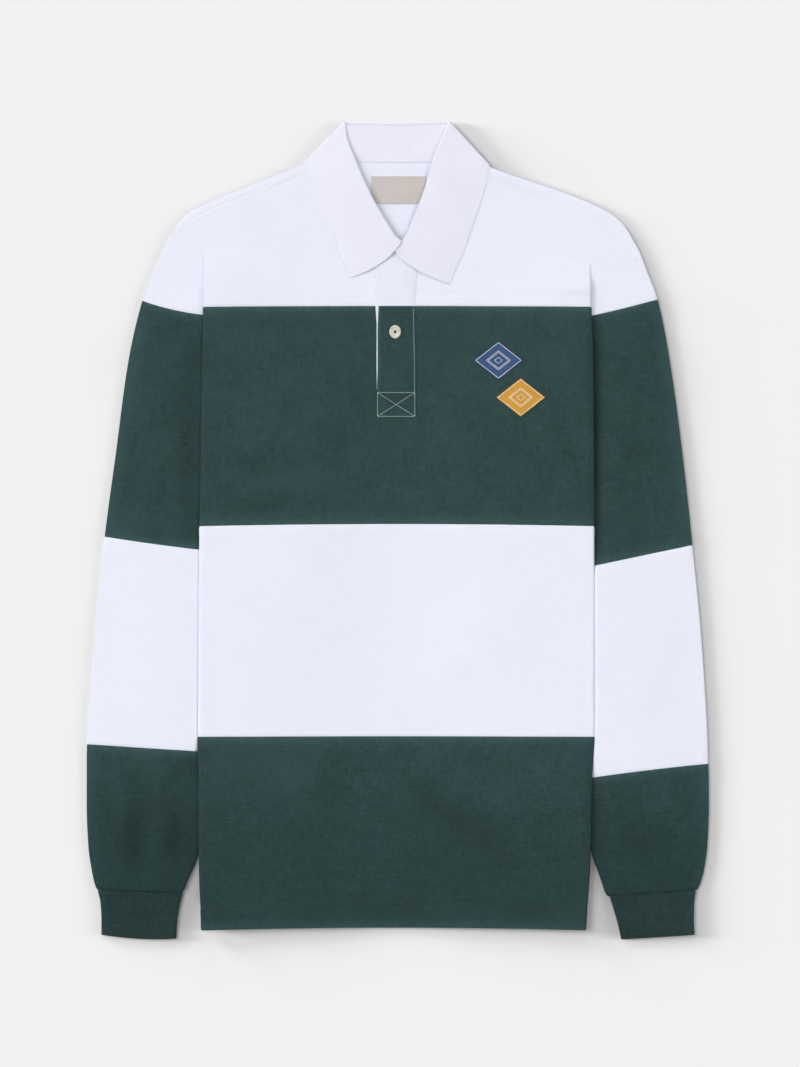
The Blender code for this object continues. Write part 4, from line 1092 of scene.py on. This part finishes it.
def sleeve_piece(side, name, lines, rows, length, look, base=BASE, radius=HALF_PLY, wall=WALL):
    """A piece of the sleeve as a tube between its top and its under lines."""
    top, under = lines
    is_cap, is_end, is_cuff = (name == word for word in ("cap", "lower_green", "cuff"))
    from_start, to_end = rows[:, None] * length, (1 - rows)[:, None] * length
    from_seam = to_end if is_cap else np.minimum(from_start, to_end)
    form = seam_form(from_seam) * np.ones(top.shape[:2])
    if is_cap:
        height, reach, run = ARMHOLE_STEP
        form += height * ease((reach - from_start) / run)
    if is_end:
        swell = ease(bow(np.linspace(0, 1, top.shape[1])))
        form += END_PUFF * ease((END_PUFF_REACH - to_end) / END_PUFF_RUN) * swell
    if is_end or is_cuff:
        depth, width = CUFF_SEAM_DIP
        form -= depth * bell(to_end if is_end else from_start, width)
    if not is_cuff:
        form += sleeve_lift(side, top)
    grid = tube(top, under, base, radius, outline_normal(side, top[:, 0, 1]), form)
    out, y = grid[..., 0], grid[..., 1]
    rim_wear, rim_width = RIM_WEAR
    seams = 0 if is_cuff else seam_wear(from_start if is_end else from_seam)
    wear_and_painted_light = np.maximum(seams, rim_wear * bell(across(OUTLINE, side, y) - out, rim_width))
    # washed patches, and painted shade along folds and in the groove beside the body's side fold
    wear_and_painted_light = wear_and_painted_light + folds(FADES_AND_PAINTED_SHADE, side * out, y)
    # painted light on the white band beside the body's side fold
    if name == "middle_white":
        wear_and_painted_light = wear_and_painted_light + painted_fold_light(side, side * out, y)
    grid[..., 0] *= side
    piece = f"cuff_{SIDES[side]}" if is_cuff else f"sleeve_{SIDES[side]}_{name}"
    cloth(piece, grid, look, wear_and_painted_light, wall=wall, closed=True, flip=side == RIGHT)


def sleeve(side, looks):
    """The cap, the three bands below it and the cuff."""
    rows = fine_shares(CAP_LENGTH, CAP_STEP, CAP_FINE)
    over, under = SLEEVE_COLUMNS["cap"]
    lines = cap_lines(side, rows, over, False), cap_lines(side, rows, under, True)
    sleeve_piece(side, "cap", lines, rows, CAP_LENGTH, looks["cap"])
    for number, name in enumerate(BANDS):
        length = SLEEVE_SEAMS[side][number][0] - SLEEVE_SEAMS[side][number + 1][0]
        rows = fine_shares(length, FIELD_STEP, SEAM_FINE)
        over, under = SLEEVE_COLUMNS[name]
        lines = band_lines(side, number, rows, over, False), band_lines(side, number, rows, under, True)
        look = looks["sleeve_end" if name == "lower_green" else name]
        sleeve_piece(side, name, lines, rows, length, look)
    cuff(side, looks["cuff"])


def cuff(side, look):
    """The plain band at the sleeve's end."""
    table = CUFF[side]
    length = table[0][1] - table[-1][1]
    rows = fine_shares(length, CUFF_STEP, CAP_FINE)
    keys = np.linspace(0, 1, len(table))
    outer_x, outer_y, inner_x, inner_y = (through(keys, column, rows) for column in zip(*table))
    outer = place(outer_x - CUFF_BASE, outer_y)[:, None]
    inner = place(inner_x + CUFF_BASE, inner_y)[:, None]
    part = np.linspace(0, 1, CUFF_COLUMNS)[None, :, None]
    line = mix(outer, inner, part)
    line[..., 1] -= CUFF_SAG[side] * bow(part)[..., 0] * rows[:, None] ** 2
    radius = CUFF_BASE - CUFF_WALL / 2
    sleeve_piece(side, "cuff", (line, line), rows, length, look, CUFF_BASE, radius, CUFF_SHELL)


# Collar


def collar_rings(index):
    """Fold line, neck seam and outward direction of rings, then their outer edge with its own direction."""
    columns = [through(np.arange(len(COLLAR)), column, index) for column in zip(*COLLAR)]
    fold_x, fold_y, fold_z, neck_x, neck_y, edge_x, edge_y, turn = columns
    angle = np.radians(turn)[:, None]
    left = (index < COLLAR_MIDDLE)[:, None]
    sideways = np.where(left, COLLAR_SIDE[LEFT], COLLAR_SIDE[RIGHT])
    facing = UP * np.cos(angle) + sideways * np.sin(angle)
    left_normal = outline_normal(LEFT, edge_y) * np.array((-1, 1, 1))
    edge_side = np.where(left, left_normal, outline_normal(RIGHT, edge_y))
    edge_facing = UP * np.cos(angle) + edge_side * np.sin(angle)
    radius = mix(COLLAR_RADIUS, BACK_RADIUS, ease((fold_y - BACK_START) / BACK_RUN))[:, None]
    fold = place(fold_x, fold_y, fold_z) + facing * radius
    neck = place(neck_x, neck_y, panel_at(neck_x, neck_y))
    edge = place(edge_x, edge_y, panel_at(edge_x, edge_y))
    return fold, neck, facing, edge, edge_facing


def collar_index():
    """Ring parameters, closer together where the collar turns over."""
    steps = []
    for number, (ring, after) in enumerate(zip(COLLAR, COLLAR[1:])):
        length = max(abs(after[5] - ring[5]), abs(after[6] - ring[6]))
        cells = max(4, round(length / COLLAR_CELL))
        steps += [number + cell / cells for cell in range(cells)]
    return np.array(steps + [len(COLLAR) - 1.0])


def collar_stand(look):
    """The collar's inner part, from the neck seam up to the fold line. It starts at the second ring."""
    index = collar_index()
    fold, neck, facing, _, _ = collar_rings(index[index >= 1])
    gap = unit(fold - neck) * COLLAR_GAP
    start = neck + facing * HALF_PLY - gap
    end = fold - facing * COLLAR_ROLL - gap
    stand = mix(start[:, None], end[:, None], np.linspace(0, 1, STAND_CELLS)[None, :, None])
    cloth("collar_stand", stand, look)


def collar_fall(look):
    """The collar's outer part: a roll over the fold line, then an arch down to the outer edge."""
    index = collar_index()
    last = len(COLLAR) - 1
    fold, neck, facing, edge, edge_facing = collar_rings(index)
    away = fold - neck
    away = unit(away - facing * (away * facing).sum(axis=-1, keepdims=True))
    turns = np.linspace(0, math.pi, ROLL_CELLS)[:-1][None, :, None]
    roll = fold[:, None] + (away[:, None] * np.sin(turns) - facing[:, None] * np.cos(turns)) * COLLAR_ROLL
    start = fold + facing * COLLAR_ROLL
    end = edge + edge_facing * COLLAR_REST
    middle = (start + end) / 2
    middle += np.clip(1 - index, 0, 1)[:, None] * LEFT_EDGE_BOW
    middle += np.clip(index - last + 1, 0, 1)[:, None] * RIGHT_EDGE_BOW
    shown = (1 + facing[:, 2]) / 2
    middle[:, 2] = mix(end[:, 2], start[:, 2], shown * mix(LEAF_ARCH, 1, ease(index / LEAF_ARCH_RINGS)))
    share = np.linspace(0, 1, FALL_CELLS)[None, :, None]
    fall = mix(mix(start[:, None], middle[:, None], share), mix(middle[:, None], end[:, None], share), share)
    grid = np.concatenate([roll, fall], axis=1)
    from_edge = np.linalg.norm(grid - grid[:, -1:], axis=-1)
    distance = np.minimum(from_edge, np.minimum(index, last - index)[:, None] * RING_LENGTH)
    relief = edge_relief(distance) * (np.arange(grid.shape[1]) >= roll.shape[1]) * shown[:, None]
    grid = grid + facing[:, None] * relief[..., None]
    wear_and_painted_light = bell(distance, COLLAR_WEAR)
    cloth("collar_fall", grid, look, wear_and_painted_light)


def edge_relief(distance):
    """The fall's double border inside its edge, with the groove of its stitches."""
    depth, width = COLLAR_GROOVE
    height, run = COLLAR_BORDER
    border = height * ease(distance / run) * ease((COLLAR_STITCH - distance) / run)
    return border - depth * bell(distance - COLLAR_STITCH, width)


# Placket, label and badges


def front_top(x, y):
    """Height of the middle of the front's cloth at places on the body."""
    return panel_at(x, y) + HALF_PLY + by_side(front_lift, x, y)


def on_front(x, y, rest):
    """Places that lie this far over the middle of the front's cloth."""
    return place(x, y, front_top(x, y) + rest)


def strip_lift(x, height):
    """How far the upper strips lie over the front: on it, or on the strip under them."""
    lap = ease((PLACKET_LAP_EDGE - x) / PLACKET_LAP)
    return mix(FIRST_STRIP, SECOND_STRIP, lap * ease((height - PLACKET_LAP_END) / PLACKET_LAP))


def strip(node, table, lift, look, below):
    """A strip of the placket with rounded, worn edges."""
    heights = span(table[0][0], table[-1][0], STRIP_STEP, STRIP_FINE)
    left, right = (read(table, heights, column)[:, None] for column in (1, 2))
    x = mix(left, right, fine_shares(table[0][2] - table[0][1], STRIP_COLUMN, STRIP_FINE))
    rows = heights[:, None]
    from_end = np.minimum(heights[0] - rows, rows - heights[-1]) + STRIP_END
    edge = np.minimum(np.minimum(x - left, right - x), from_end)
    depth, width = STRIP_ROUNDING
    rest = lift(x, rows) - depth * bell(edge, width)
    grid = on_front(x, rows + seam_rise(np.abs(x), rows), rest)
    most, inside, width = STRIP_WEAR
    cloth(node, grid, look, bell(edge - inside, width) * most, wall=STRIP_SHELL)


def first_strip(x, height):
    return FIRST_STRIP + 0 * x


def placket(white, green):
    strip("placket_under", PLACKET_UNDER, first_strip, white, "front_upper_green")
    strip("placket_top_white", PLACKET_WHITE, strip_lift, white, "placket_under")
    strip("placket_top_green", PLACKET_GREEN, strip_lift, green, "placket_under")


def neck_label(look):
    """The bare label inside the neck, on the back's cloth."""
    middle_x, middle_y = LABEL_PLACE
    columns, rows = np.linspace(-0.5, 0.5, LABEL_GRID[0]), np.linspace(0.5, -0.5, LABEL_GRID[1])[:, None]
    x, y = middle_x + LABEL_WIDTH * columns, middle_y + LABEL_HEIGHT * rows
    belly = LABEL_BELLY * np.cos(columns * math.pi) * ease(0.5 - rows)
    grid = place(x, y, panel_at(x, y) - HALF_PLY + CLOTH / 2 + LABEL_REST + belly)
    cloth("neck_label", grid, look, wall=LABEL_SHELL)


def badge(node, look):
    """A lozenge of felt on the front."""
    middle_x, middle_y = BADGES[node]
    rising = np.linspace(-0.5, 0.5, BADGE_GRID)
    falling = rising[:, None]
    x = middle_x + BADGE_WIDTH / 2 * (rising + falling)
    y = middle_y + BADGE_HEIGHT / 2 * (rising - falling)
    grid = on_front(x, y, CLOTH / 2 + BADGE_REST)
    cloth(node, grid, look, wall=STRIP_SHELL)


# Sewing


def stitches(line, length, gap, radius, seed):
    """Stitches along a line on the cloth: each a short thread, round in the middle and sunk at both ends."""
    total = travel(line)[-1]
    count = max(1, int(total / (length + gap)))
    chance = np.random.default_rng(seed)
    starts = (np.arange(count) + 0.5) * total / count - length / 2 + chance.normal(0, STITCH_SPREAD, count)
    shares_along, rises, sizes = np.array(STITCH_RINGS).T
    corners = np.linspace(0, 2 * math.pi, STITCH_CORNERS + 1)[:-1][:, None]
    at = np.clip(starts[:, None] + shares_along * length, 0, total)
    centres = along(line, at.ravel()).reshape(count, len(STITCH_RINGS), 3)
    ways = unit(centres[:, -1] - centres[:, 0])[:, None, :]
    sideways = unit(np.cross(UP, ways))
    upward = np.cross(ways, sideways)
    centres = centres + upward * rises[:, None]
    ring = sideways[:, :, None] * np.cos(corners) + upward[:, :, None] * np.sin(corners)
    points = centres[:, :, None] + ring * (sizes[:, None, None] * radius)
    faces = grid_faces(len(STITCH_RINGS), STITCH_CORNERS, closed=True).reshape(-1, 4)
    first = np.arange(count)[:, None, None] * len(STITCH_RINGS) * STITCH_CORNERS
    return points.reshape(-1, 3), (faces + first).reshape(-1, 4)


def joined(parts):
    """Points and faces of several meshes as one."""
    starts = np.cumsum([0] + [len(points) for points, _ in parts])
    faces = [part[1] + start for part, start in zip(parts, starts)]
    return np.vstack([points for points, _ in parts]), np.vstack(faces)


def sewn(name, lines, look):
    """One piece from the stitches of several lines."""
    parts = [stitches(line, *STITCHES[name], seed) for seed, line in enumerate(lines)]
    mesh_piece(name, *joined(parts), look)


def hem_lines(front):
    lines = []
    for y in HEM_STITCHES:
        for side in SIDES:
            edge = across(FOLD, side, y) - LAYER / 2 - BASE
            x = side * np.linspace(-side * CENTRE, edge, PLACES["hem"])
            line_y = y + seam_rise(np.abs(x), y)
            if front:
                lines.append(on_front(x, line_y, WALL / 2 - HEM_THREAD_SINK))
            else:
                under = panel_at(x, line_y) - HALF_PLY - WALL / 2
                lines.append(place(x, line_y, under + HEM_THREAD_UNDER))
    return lines


def shoulder_lines(side):
    """The twin lines beside the shoulder seam."""
    column = COLUMN[side]
    low, high = SHOULDER_ROWS[0][column] + SHOULDER_UNSEWN[0], SHOULDER_ROWS[-1][column] - SHOULDER_UNSEWN[1]
    nominal = np.linspace(low, high, PLACES["shoulder"])
    lines = []
    for inset in SHOULDER_INSETS:
        x, y, _ = shoulder_end(side, nominal, inset)[0].T
        lines.append(place(side * x, y, panel_at(side * x, y) + HALF_PLY + WALL / 2 + THREAD_REST))
    return lines


def armhole_lines(side):
    """The twin lines beside the armhole seam, as far as the body doesn't lie on them."""
    seam = armhole_line(side, PLACES["sewn_armhole"])[ARMHOLE_SKIP:]
    lines = []
    for inset in ARMHOLE_INSETS:
        line = beside(seam, -inset)
        x, y, _ = line[line[:, 0] > across(FOLD, side, line[:, 1]) + 1][1:].T
        lines.append(place(side * x, y, BASE + HALF_PLY + WALL / 2 + THREAD_REST))
    return lines


def on_strip(x, y):
    """Places for thread on the placket's upper strips."""
    return on_front(x, y, strip_lift(x, y) + STRIP_THREAD_REST)


def straight(start, end, count):
    """X and Y of places along a straight line."""
    share = np.linspace(0, 1, count)
    return [mix(start[axis], end[axis], share) for axis in range(2)]


def box_lines():
    """A sewn box with a cross in it, on the end of the placket."""
    left, right, top, bottom = PLACKET_BOX
    corners = [(left, top), (right, top), (right, bottom), (left, bottom), (left, top)]
    pairs = [*zip(corners, corners[1:]), (corners[0], corners[2]), (corners[1], corners[3])]
    return [on_strip(*straight(start, end, PLACES["box"])) for start, end in pairs]


def strip_edge(table, column, start, end, inset, count):
    """A line just inside a strip's edge."""
    y = np.linspace(start, end, count)
    return on_strip(read(table, y, column) + inset, y)


def stripe_lines():
    """The lines along the top green band's upper seam, on both sides of the placket."""
    height, inset = STRIPE_STITCH_END
    share = np.linspace(0, 1, PLACES["stripe"])
    lines = []
    for side, start in STRIPE_STITCH_STARTS.items():
        x = side * mix(start, across(FOLD, side, height) - inset, share)
        lines.append(on_front(x, STRIPE_STITCH + seam_rise(np.abs(x), STRIPE_STITCH), WALL / 2))
    return lines


def lozenge(node, share):
    """A line round a badge, at this share of its size."""
    middle_x, middle_y = BADGES[node]
    corners = ((-0.5, 0.0), (0.0, 0.5), (0.5, 0.0), (0.0, -0.5), (-0.5, 0.0))
    lines = []
    for start, end in zip(corners, corners[1:]):
        x, y = straight(start, end, PLACES["badge"])
        x, y = middle_x + share * BADGE_WIDTH * x, middle_y + share * BADGE_HEIGHT * y
        lines.append(on_front(x, y, CLOTH / 2 + BADGE_THREAD_REST))
    return np.vstack(lines)


def sewing(white, green, pale):
    """All the stitches that show, but for the button's."""
    sewn("stripe_stitches", stripe_lines(), white)
    sewn("placket_edge_stitches", [strip_edge(PLACKET_GREEN, *PLACKET_EDGE_LINE)], pale)
    sewn("placket_stitches", box_lines(), pale)
    upper = [strip_edge(PLACKET_WHITE, *line) for line in PLACKET_UPPER_LINES]
    sewn("placket_upper_stitches", upper, white)
    sewn("badge_border_stitches", [lozenge(node, BADGE_BORDER) for node in BADGES], white)
    motifs = [lozenge(node, share) for node in BADGES for share in BADGE_MOTIF]
    sewn("badge_motif_stitches", motifs, white)
    sewn("hem_stitches_front", hem_lines(True), green)
    sewn("hem_stitches_back", hem_lines(False), green)
    sewn("shoulder_stitches", shoulder_lines(LEFT) + shoulder_lines(RIGHT), white)
    sewn("armhole_stitches", armhole_lines(LEFT) + armhole_lines(RIGHT), white)


def button(look, sewing_look):
    """A turned button with a soft rim and a sunk middle, whose four holes are filled by a bar of threads."""
    middle_x, middle_y = BUTTON_PLACE
    bottom = BASE + HALF_PLY + SECOND_STRIP + PLACKET_WALL / 2 + BUTTON_GAP
    around = np.linspace(0, 2 * math.pi, BUTTON_CORNERS + 1)[:-1]
    radius, height = (np.array(column)[:, None] for column in zip(*BUTTON_PROFILE))
    wide, tall = BUTTON_STRETCH
    x, y = middle_x + wide * radius * np.cos(around), middle_y + tall * radius * np.sin(around)
    faces = grid_faces(len(BUTTON_PROFILE), BUTTON_CORNERS, closed=True).reshape(-1, 4)[:, ::-1]
    body = mesh_piece("button_looks", place(x, y, bottom + height).reshape(-1, 3), faces, look)
    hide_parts("button")

    y = middle_y + np.linspace(-BUTTON_THREAD_REACH, BUTTON_THREAD_REACH, BUTTON_THREAD_PLACES)
    turns = np.linspace(-BUTTON_THREAD_TURN, BUTTON_THREAD_TURN, BUTTON_THREAD_PLACES)
    z = bottom + BUTTON_THREAD_REST + BUTTON_THREAD_RISE * np.cos(turns)
    lines = [place(middle_x + offset, y, z) for offset in BUTTON_THREADS]
    sewn("button_thread", lines, sewing_look)

    around = np.linspace(0, 2 * math.pi, HOLE_CORNERS + 1)[:-1]
    size = np.array(HOLE_RINGS)[:, None]
    faces = grid_faces(len(HOLE_RINGS), HOLE_CORNERS, closed=True).reshape(-1, 4)
    holes = []
    for up, right in itertools.product((-1, 1), repeat=2):
        x = middle_x + right * HOLE_OFFSET[0] + size * np.cos(around)
        y = middle_y + up * HOLE_OFFSET[1] + size * np.sin(around)
        holes.append((place(x, y, bottom + HOLE_REST).reshape(-1, 3), faces))
    mesh_piece("button_holes", *joined(holes), sewing_look)


# Materials


class Graph:
    """Short names for the nodes that the cloths are made of."""

    def __init__(self, name):
        self.material = bpy.data.materials.new(name)
        self.material.use_nodes = True
        self.nodes = self.material.node_tree.nodes
        self.links = self.material.node_tree.links
        self.shader = self.nodes["Principled BSDF"]

    def put(self, socket, value):
        if isinstance(value, bpy.types.NodeSocket):
            self.links.new(value, socket)
        else:
            socket.default_value = value

    def node(self, kind, **inputs):
        node = self.nodes.new(kind)
        for name, value in inputs.items():
            self.put(node.inputs[name], value)
        return node

    def math(self, operation, *values):
        node = self.nodes.new("ShaderNodeMath")
        node.operation = operation
        for socket, value in zip(node.inputs, values):
            self.put(socket, value)
        return node.outputs[0]

    def noise(self, scale, detail=3.0, roughness=0.55, stretch=(1, 1, 1)):
        """Noise in the object's own space, whose blotches are about 1 / scale mm wide."""
        scales = [1000 * scale * share for share in stretch]
        at = self.node("ShaderNodeMapping", Vector=self.place(), Scale=scales).outputs[0]
        node = self.node("ShaderNodeTexNoise", Vector=at, Scale=1.0, Detail=detail, Roughness=roughness)
        return node.outputs["Fac"]

    def place(self):
        return self.nodes.new("ShaderNodeTexCoord").outputs["Object"]

    def blend(self, first, second, share):
        node = self.nodes.new("ShaderNodeMix")
        node.data_type = "RGBA"
        self.put(node.inputs["Factor"], share)
        self.put(node.inputs["A"], (*first, 1) if isinstance(first, tuple) else first)
        self.put(node.inputs["B"], (*second, 1) if isinstance(second, tuple) else second)
        return node.outputs["Result"]

    def attribute(self, name):
        node = self.nodes.new("ShaderNodeAttribute")
        node.attribute_name = name
        return node.outputs["Fac"]

    def spread(self, value, low, high, to_low, to_high):
        node = self.node("ShaderNodeMapRange", Value=value)
        for name, number in zip(("From Min", "From Max", "To Min", "To Max"), (low, high, to_low, to_high)):
            node.inputs[name].default_value = number
        return node.outputs[0]

    def bump(self, height, distance, strength=1.0, normal=None):
        node = self.node("ShaderNodeBump", Height=height, Distance=distance * MM, Strength=strength)
        if normal:
            self.put(node.inputs["Normal"], normal)
        return node.outputs[0]

    def surface(self, **settings):
        """The finished material. A socket's name is given with _ for its spaces."""
        for name, value in settings.items():
            self.put(self.shader.inputs[name.replace("_", " ")], value)
        return self.material


def pattern(graph, across_step, along_step):
    """The object's X and Y, counted in steps of a pattern."""
    split = graph.node("ShaderNodeSeparateXYZ", Vector=graph.place()).outputs
    return [graph.math("DIVIDE", split[0], across_step * MM), graph.math("DIVIDE", split[1], along_step * MM)]


def wave(graph, count, turn=2 * math.pi):
    return graph.math("SINE", graph.math("MULTIPLY", count, turn))


def both(graph, first, first_share, second, second_share):
    first, second = graph.math("MULTIPLY", first, first_share), graph.math("MULTIPLY", second, second_share)
    return graph.math("ADD", first, second)


def knit(graph, wale, course):
    """Height of jersey's face: columns of leaning loops, wale mm apart, with a row each course mm."""
    u, v = pattern(graph, wale, course)
    lean = graph.math("MULTIPLY", graph.math("PINGPONG", u, 0.5), 1.1)
    rows = wave(graph, graph.math("ADD", v, lean))
    return both(graph, rows, 0.3, graph.math("ABSOLUTE", wave(graph, u)), 0.6)


def weave(graph, pitch):
    """Height of a fine twill: threads pitch mm apart that climb one step each row."""
    u, v = pattern(graph, pitch, pitch)
    return both(graph, wave(graph, graph.math("ADD", u, v), math.pi), 0.5, wave(graph, v), 0.2)


def jersey(name, colour, uneven, sheen=0.04, wale=1.15, course=0.85, relief=0.16, low=None, rub_and_shade=RUB_AND_SHADE):
    """Brushed cotton jersey: knit relief, streaks, washed patches, paler worn edges, painted shade and
    painted light from the wear attribute, and a soft bloom.

    It turns to its low colour toward the hem.
    """
    graph = Graph(name)
    y = graph.node("ShaderNodeSeparateXYZ", Vector=graph.place()).outputs["Y"]
    base = graph.blend(colour, low or colour, graph.spread(y, LOW_START * MM, LOW_END * MM, 0.0, 1.0))
    cool = tuple(value * tint for value, tint in zip(colour, COOL_TINT))
    base = graph.blend(base, cool, graph.spread(graph.noise(0.02, 2.0, 0.5), 0.40, 0.75, 0.0, uneven))
    up = graph.noise(0.34, 4.0, 0.68, stretch=(1.5, 0.33, 1))
    over = graph.noise(0.34, 4.0, 0.68, stretch=(0.33, 1.5, 1))
    patch = graph.noise(0.035, 3.0, 0.55)
    streaks = graph.math("ADD", *(graph.spread(way, 0.25, 0.75, -uneven, uneven) for way in (up, over)))
    change = graph.math("ADD", streaks, graph.spread(patch, 0.3, 0.7, -0.4 * uneven, 0.4 * uneven))
    # the wear attribute lightens worn cloth and also carries the painted shade and painted light
    rub_and_shade_share = graph.spread(up, 0.25, 0.75, 0.7 * rub_and_shade, 1.1 * rub_and_shade)
    rubbed_and_shaded = graph.math("MULTIPLY", graph.attribute("wear_and_painted_light"), rub_and_shade_share)
    change = graph.math("ADD", graph.math("ADD", change, rubbed_and_shaded), 1.0)
    tone = graph.nodes.new("ShaderNodeVectorMath")
    tone.operation = "SCALE"
    graph.put(tone.inputs[0], base)
    graph.put(tone.inputs["Scale"], change)
    rough = graph.bump(graph.noise(0.9, 4.0, 0.7), 0.16)
    return graph.surface(
        Base_Color=tone.outputs[0],
        Roughness=0.92,
        Specular_IOR_Level=0.12,
        Sheen_Weight=sheen,
        Sheen_Roughness=0.55,
        Normal=graph.bump(knit(graph, wale, course), relief, normal=rough),
    )


def woven(name, colour, deep, pitch, relief):
    """Woven cotton: fine twill lines and a little unevenness toward its deep colour."""
    graph = Graph(name)
    fine = graph.spread(graph.noise(0.8, 3.0, 0.6), 0.4, 0.8, 0.0, 0.5)
    broad = graph.spread(graph.noise(0.045, 2.0, 0.5), 0.4, 0.75, 0.0, 0.45)
    rough = graph.bump(graph.noise(0.12, 3.0, 0.5), 0.5)
    return graph.surface(
        Base_Color=graph.blend(graph.blend(colour, deep, fine), deep, broad),
        Roughness=0.88,
        Specular_IOR_Level=0.15,
        Sheen_Weight=0.05,
        Normal=graph.bump(weave(graph, pitch), relief, normal=rough),
    )


def darker(colour, share):
    return tuple(value * share for value in colour)


def thread(name, colour):
    graph = Graph(name)
    base = graph.blend(colour, darker(colour, 0.8), graph.noise(1.2))
    return graph.surface(Base_Color=base, Roughness=0.6, Specular_IOR_Level=0.25)


def horn(name, colour):
    """Polished horn with darker clouds in it."""
    graph = Graph(name)
    clouds = graph.spread(graph.noise(0.55, 4.0, 0.6), 0.40, 0.70, 0.0, 1.0)
    base = graph.blend(colour, darker(colour, 0.55), clouds)
    return graph.surface(Base_Color=base, Roughness=0.35, Normal=graph.bump(graph.noise(1.4), 0.03))


def plain(name, colour, roughness):
    return Graph(name).surface(Base_Color=(*colour, 1), Roughness=roughness, Specular_IOR_Level=0.1)


# Stage


def link(thing):
    bpy.context.scene.collection.objects.link(thing)
    return thing


def camera():
    """Straight above, with the photograph's frame."""
    data = bpy.data.cameras.new("camera")
    data.sensor_width = SENSOR
    data.lens = SENSOR * CAMERA_HEIGHT / (PICTURE[1] * PIXEL)
    data.clip_end = 100
    eye = link(bpy.data.objects.new("camera", data))
    eye.location = (PICTURE_CENTRE[0] * MM, PICTURE_CENTRE[1] * MM, CAMERA_HEIGHT * MM)
    bpy.context.scene.camera = eye


def sun(name, given, elevation, azimuth, angle):
    """A soft sun that gives a level surface this much light."""
    data = bpy.data.lights.new(name, "SUN")
    data.angle = math.radians(angle)
    height, way = math.radians(elevation), math.radians(azimuth)
    data.energy = given * math.pi / math.sin(height)
    lamp = link(bpy.data.objects.new(name, data))
    shining = -Vector((math.cos(height) * math.cos(way), math.cos(height) * math.sin(way), math.sin(height)))
    lamp.rotation_euler = shining.to_track_quat("-Z", "Y").to_euler()
    return lamp


def only_on(lamp, pieces):
    """Keeps a lamp's light to these pieces."""
    receivers = bpy.data.collections.new(lamp.name + "_on")
    for piece in pieces:
        receivers.objects.link(piece)
    lamp.light_linking.receiver_collection = receivers


def paper(tone):
    """The pale floor."""
    data = bpy.data.meshes.new("floor")
    corners = [(x * FLOOR_SIZE, y * FLOOR_SIZE, 0) for x, y in ((-1, -1), (1, -1), (1, 1), (-1, 1))]
    data.from_pydata(corners, [], [(0, 1, 2, 3)])
    data.materials.append(plain("floor_paper", (tone,) * 3, 0.95))
    floor = link(bpy.data.objects.new("floor", data))
    return floor


def stage():
    """The floor and plain studio light, set once every piece is made."""
    pieces = [thing for thing in bpy.context.scene.objects if thing.type == "MESH"]
    total = (GLOW + KEY[0]) / (1 - sum(light[0] for light in LOW_LIGHTS))
    floor = paper(FLOOR_TONE / total)
    world = bpy.data.worlds.new("studio")
    world.use_nodes = True
    background = world.node_tree.nodes["Background"].inputs
    background["Color"].default_value = (1, 1, 1, 1)
    background["Strength"].default_value = GLOW
    bpy.context.scene.world = world
    sun("key", *KEY)
    only_on(sun("overhead", *OVERHEAD), pieces)
    for number, (share, *source) in enumerate(LOW_LIGHTS):
        only_on(sun(f"low_light_{number}", share * total, *source), [floor])
    bpy.context.scene.view_settings.view_transform = "Standard"


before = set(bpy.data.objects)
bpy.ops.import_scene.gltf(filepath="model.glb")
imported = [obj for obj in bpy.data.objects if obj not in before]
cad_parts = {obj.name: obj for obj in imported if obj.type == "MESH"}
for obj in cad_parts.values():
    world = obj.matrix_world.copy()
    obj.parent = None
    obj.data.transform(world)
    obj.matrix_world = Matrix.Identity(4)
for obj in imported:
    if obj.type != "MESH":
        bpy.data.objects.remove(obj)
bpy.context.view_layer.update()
camera()

WHITE_JERSEY = (jersey("white_jersey", WHITE, 0.013, relief=0.08, rub_and_shade=WHITE_RUB_AND_SHADE), "white_jersey")
GREEN_JERSEY = (jersey("green_jersey", GREEN, 0.17, low=LOW_GREEN), "green_jersey")
WHITE_TWILL = (woven("white_twill", TWILL, TWILL_DEEP, 0.5, 0.10), "white_twill")
WHITE_STRIP = (woven("white_strip", WHITE, STRIP_DEEP, 0.5, 0.08), "white_twill")
LABEL_WEAVE = (woven("label_weave", BEIGE, BEIGE_DEEP, 0.35, 0.12), "label_beige")
BLUE_FELT = (woven("blue_felt", BLUE, BLUE_DEEP, 0.7, 0.14), "felt_blue")
MUSTARD_FELT = (woven("mustard_felt", MUSTARD, MUSTARD_DEEP, 0.7, 0.14), "felt_mustard")
WHITE_SEWING = (thread("white_thread", WHITE_THREAD), "white_jersey")
GREEN_SEWING = (thread("green_thread", GREEN_THREAD), "green_jersey")
PALE_SEWING = (thread("pale_thread", PALE_THREAD), "white_jersey")
BAND_LOOKS = {
    "cap": WHITE_JERSEY,
    "upper_green": GREEN_JERSEY,
    "middle_white": WHITE_JERSEY,
    "lower_green": GREEN_JERSEY,
    "sleeve_end": (jersey("green_sleeve_end", GREEN, 0.17, low=SLEEVE_END_GREEN), "green_jersey"),
    "cuff": (jersey("green_cuff", CUFF_GREEN, 0.20, wale=1.6, relief=0.25), "green_jersey"),
}

for side in SIDES:
    front_yoke(side, WHITE_JERSEY)
back_yoke(WHITE_JERSEY)
for name in BANDS:
    for front in (True, False):
        band(front, name, BAND_LOOKS[name])
for side in SIDES:
    sleeve(side, BAND_LOOKS)
collar_stand(WHITE_TWILL)
collar_fall(WHITE_TWILL)
placket(WHITE_STRIP, GREEN_JERSEY)
neck_label(LABEL_WEAVE)
badge("badge_blue", BLUE_FELT)
badge("badge_mustard", MUSTARD_FELT)
sewing(WHITE_SEWING, GREEN_SEWING, PALE_SEWING)
button((horn("button_horn", ECRU), "button_ecru"), GREEN_SEWING)

stage()
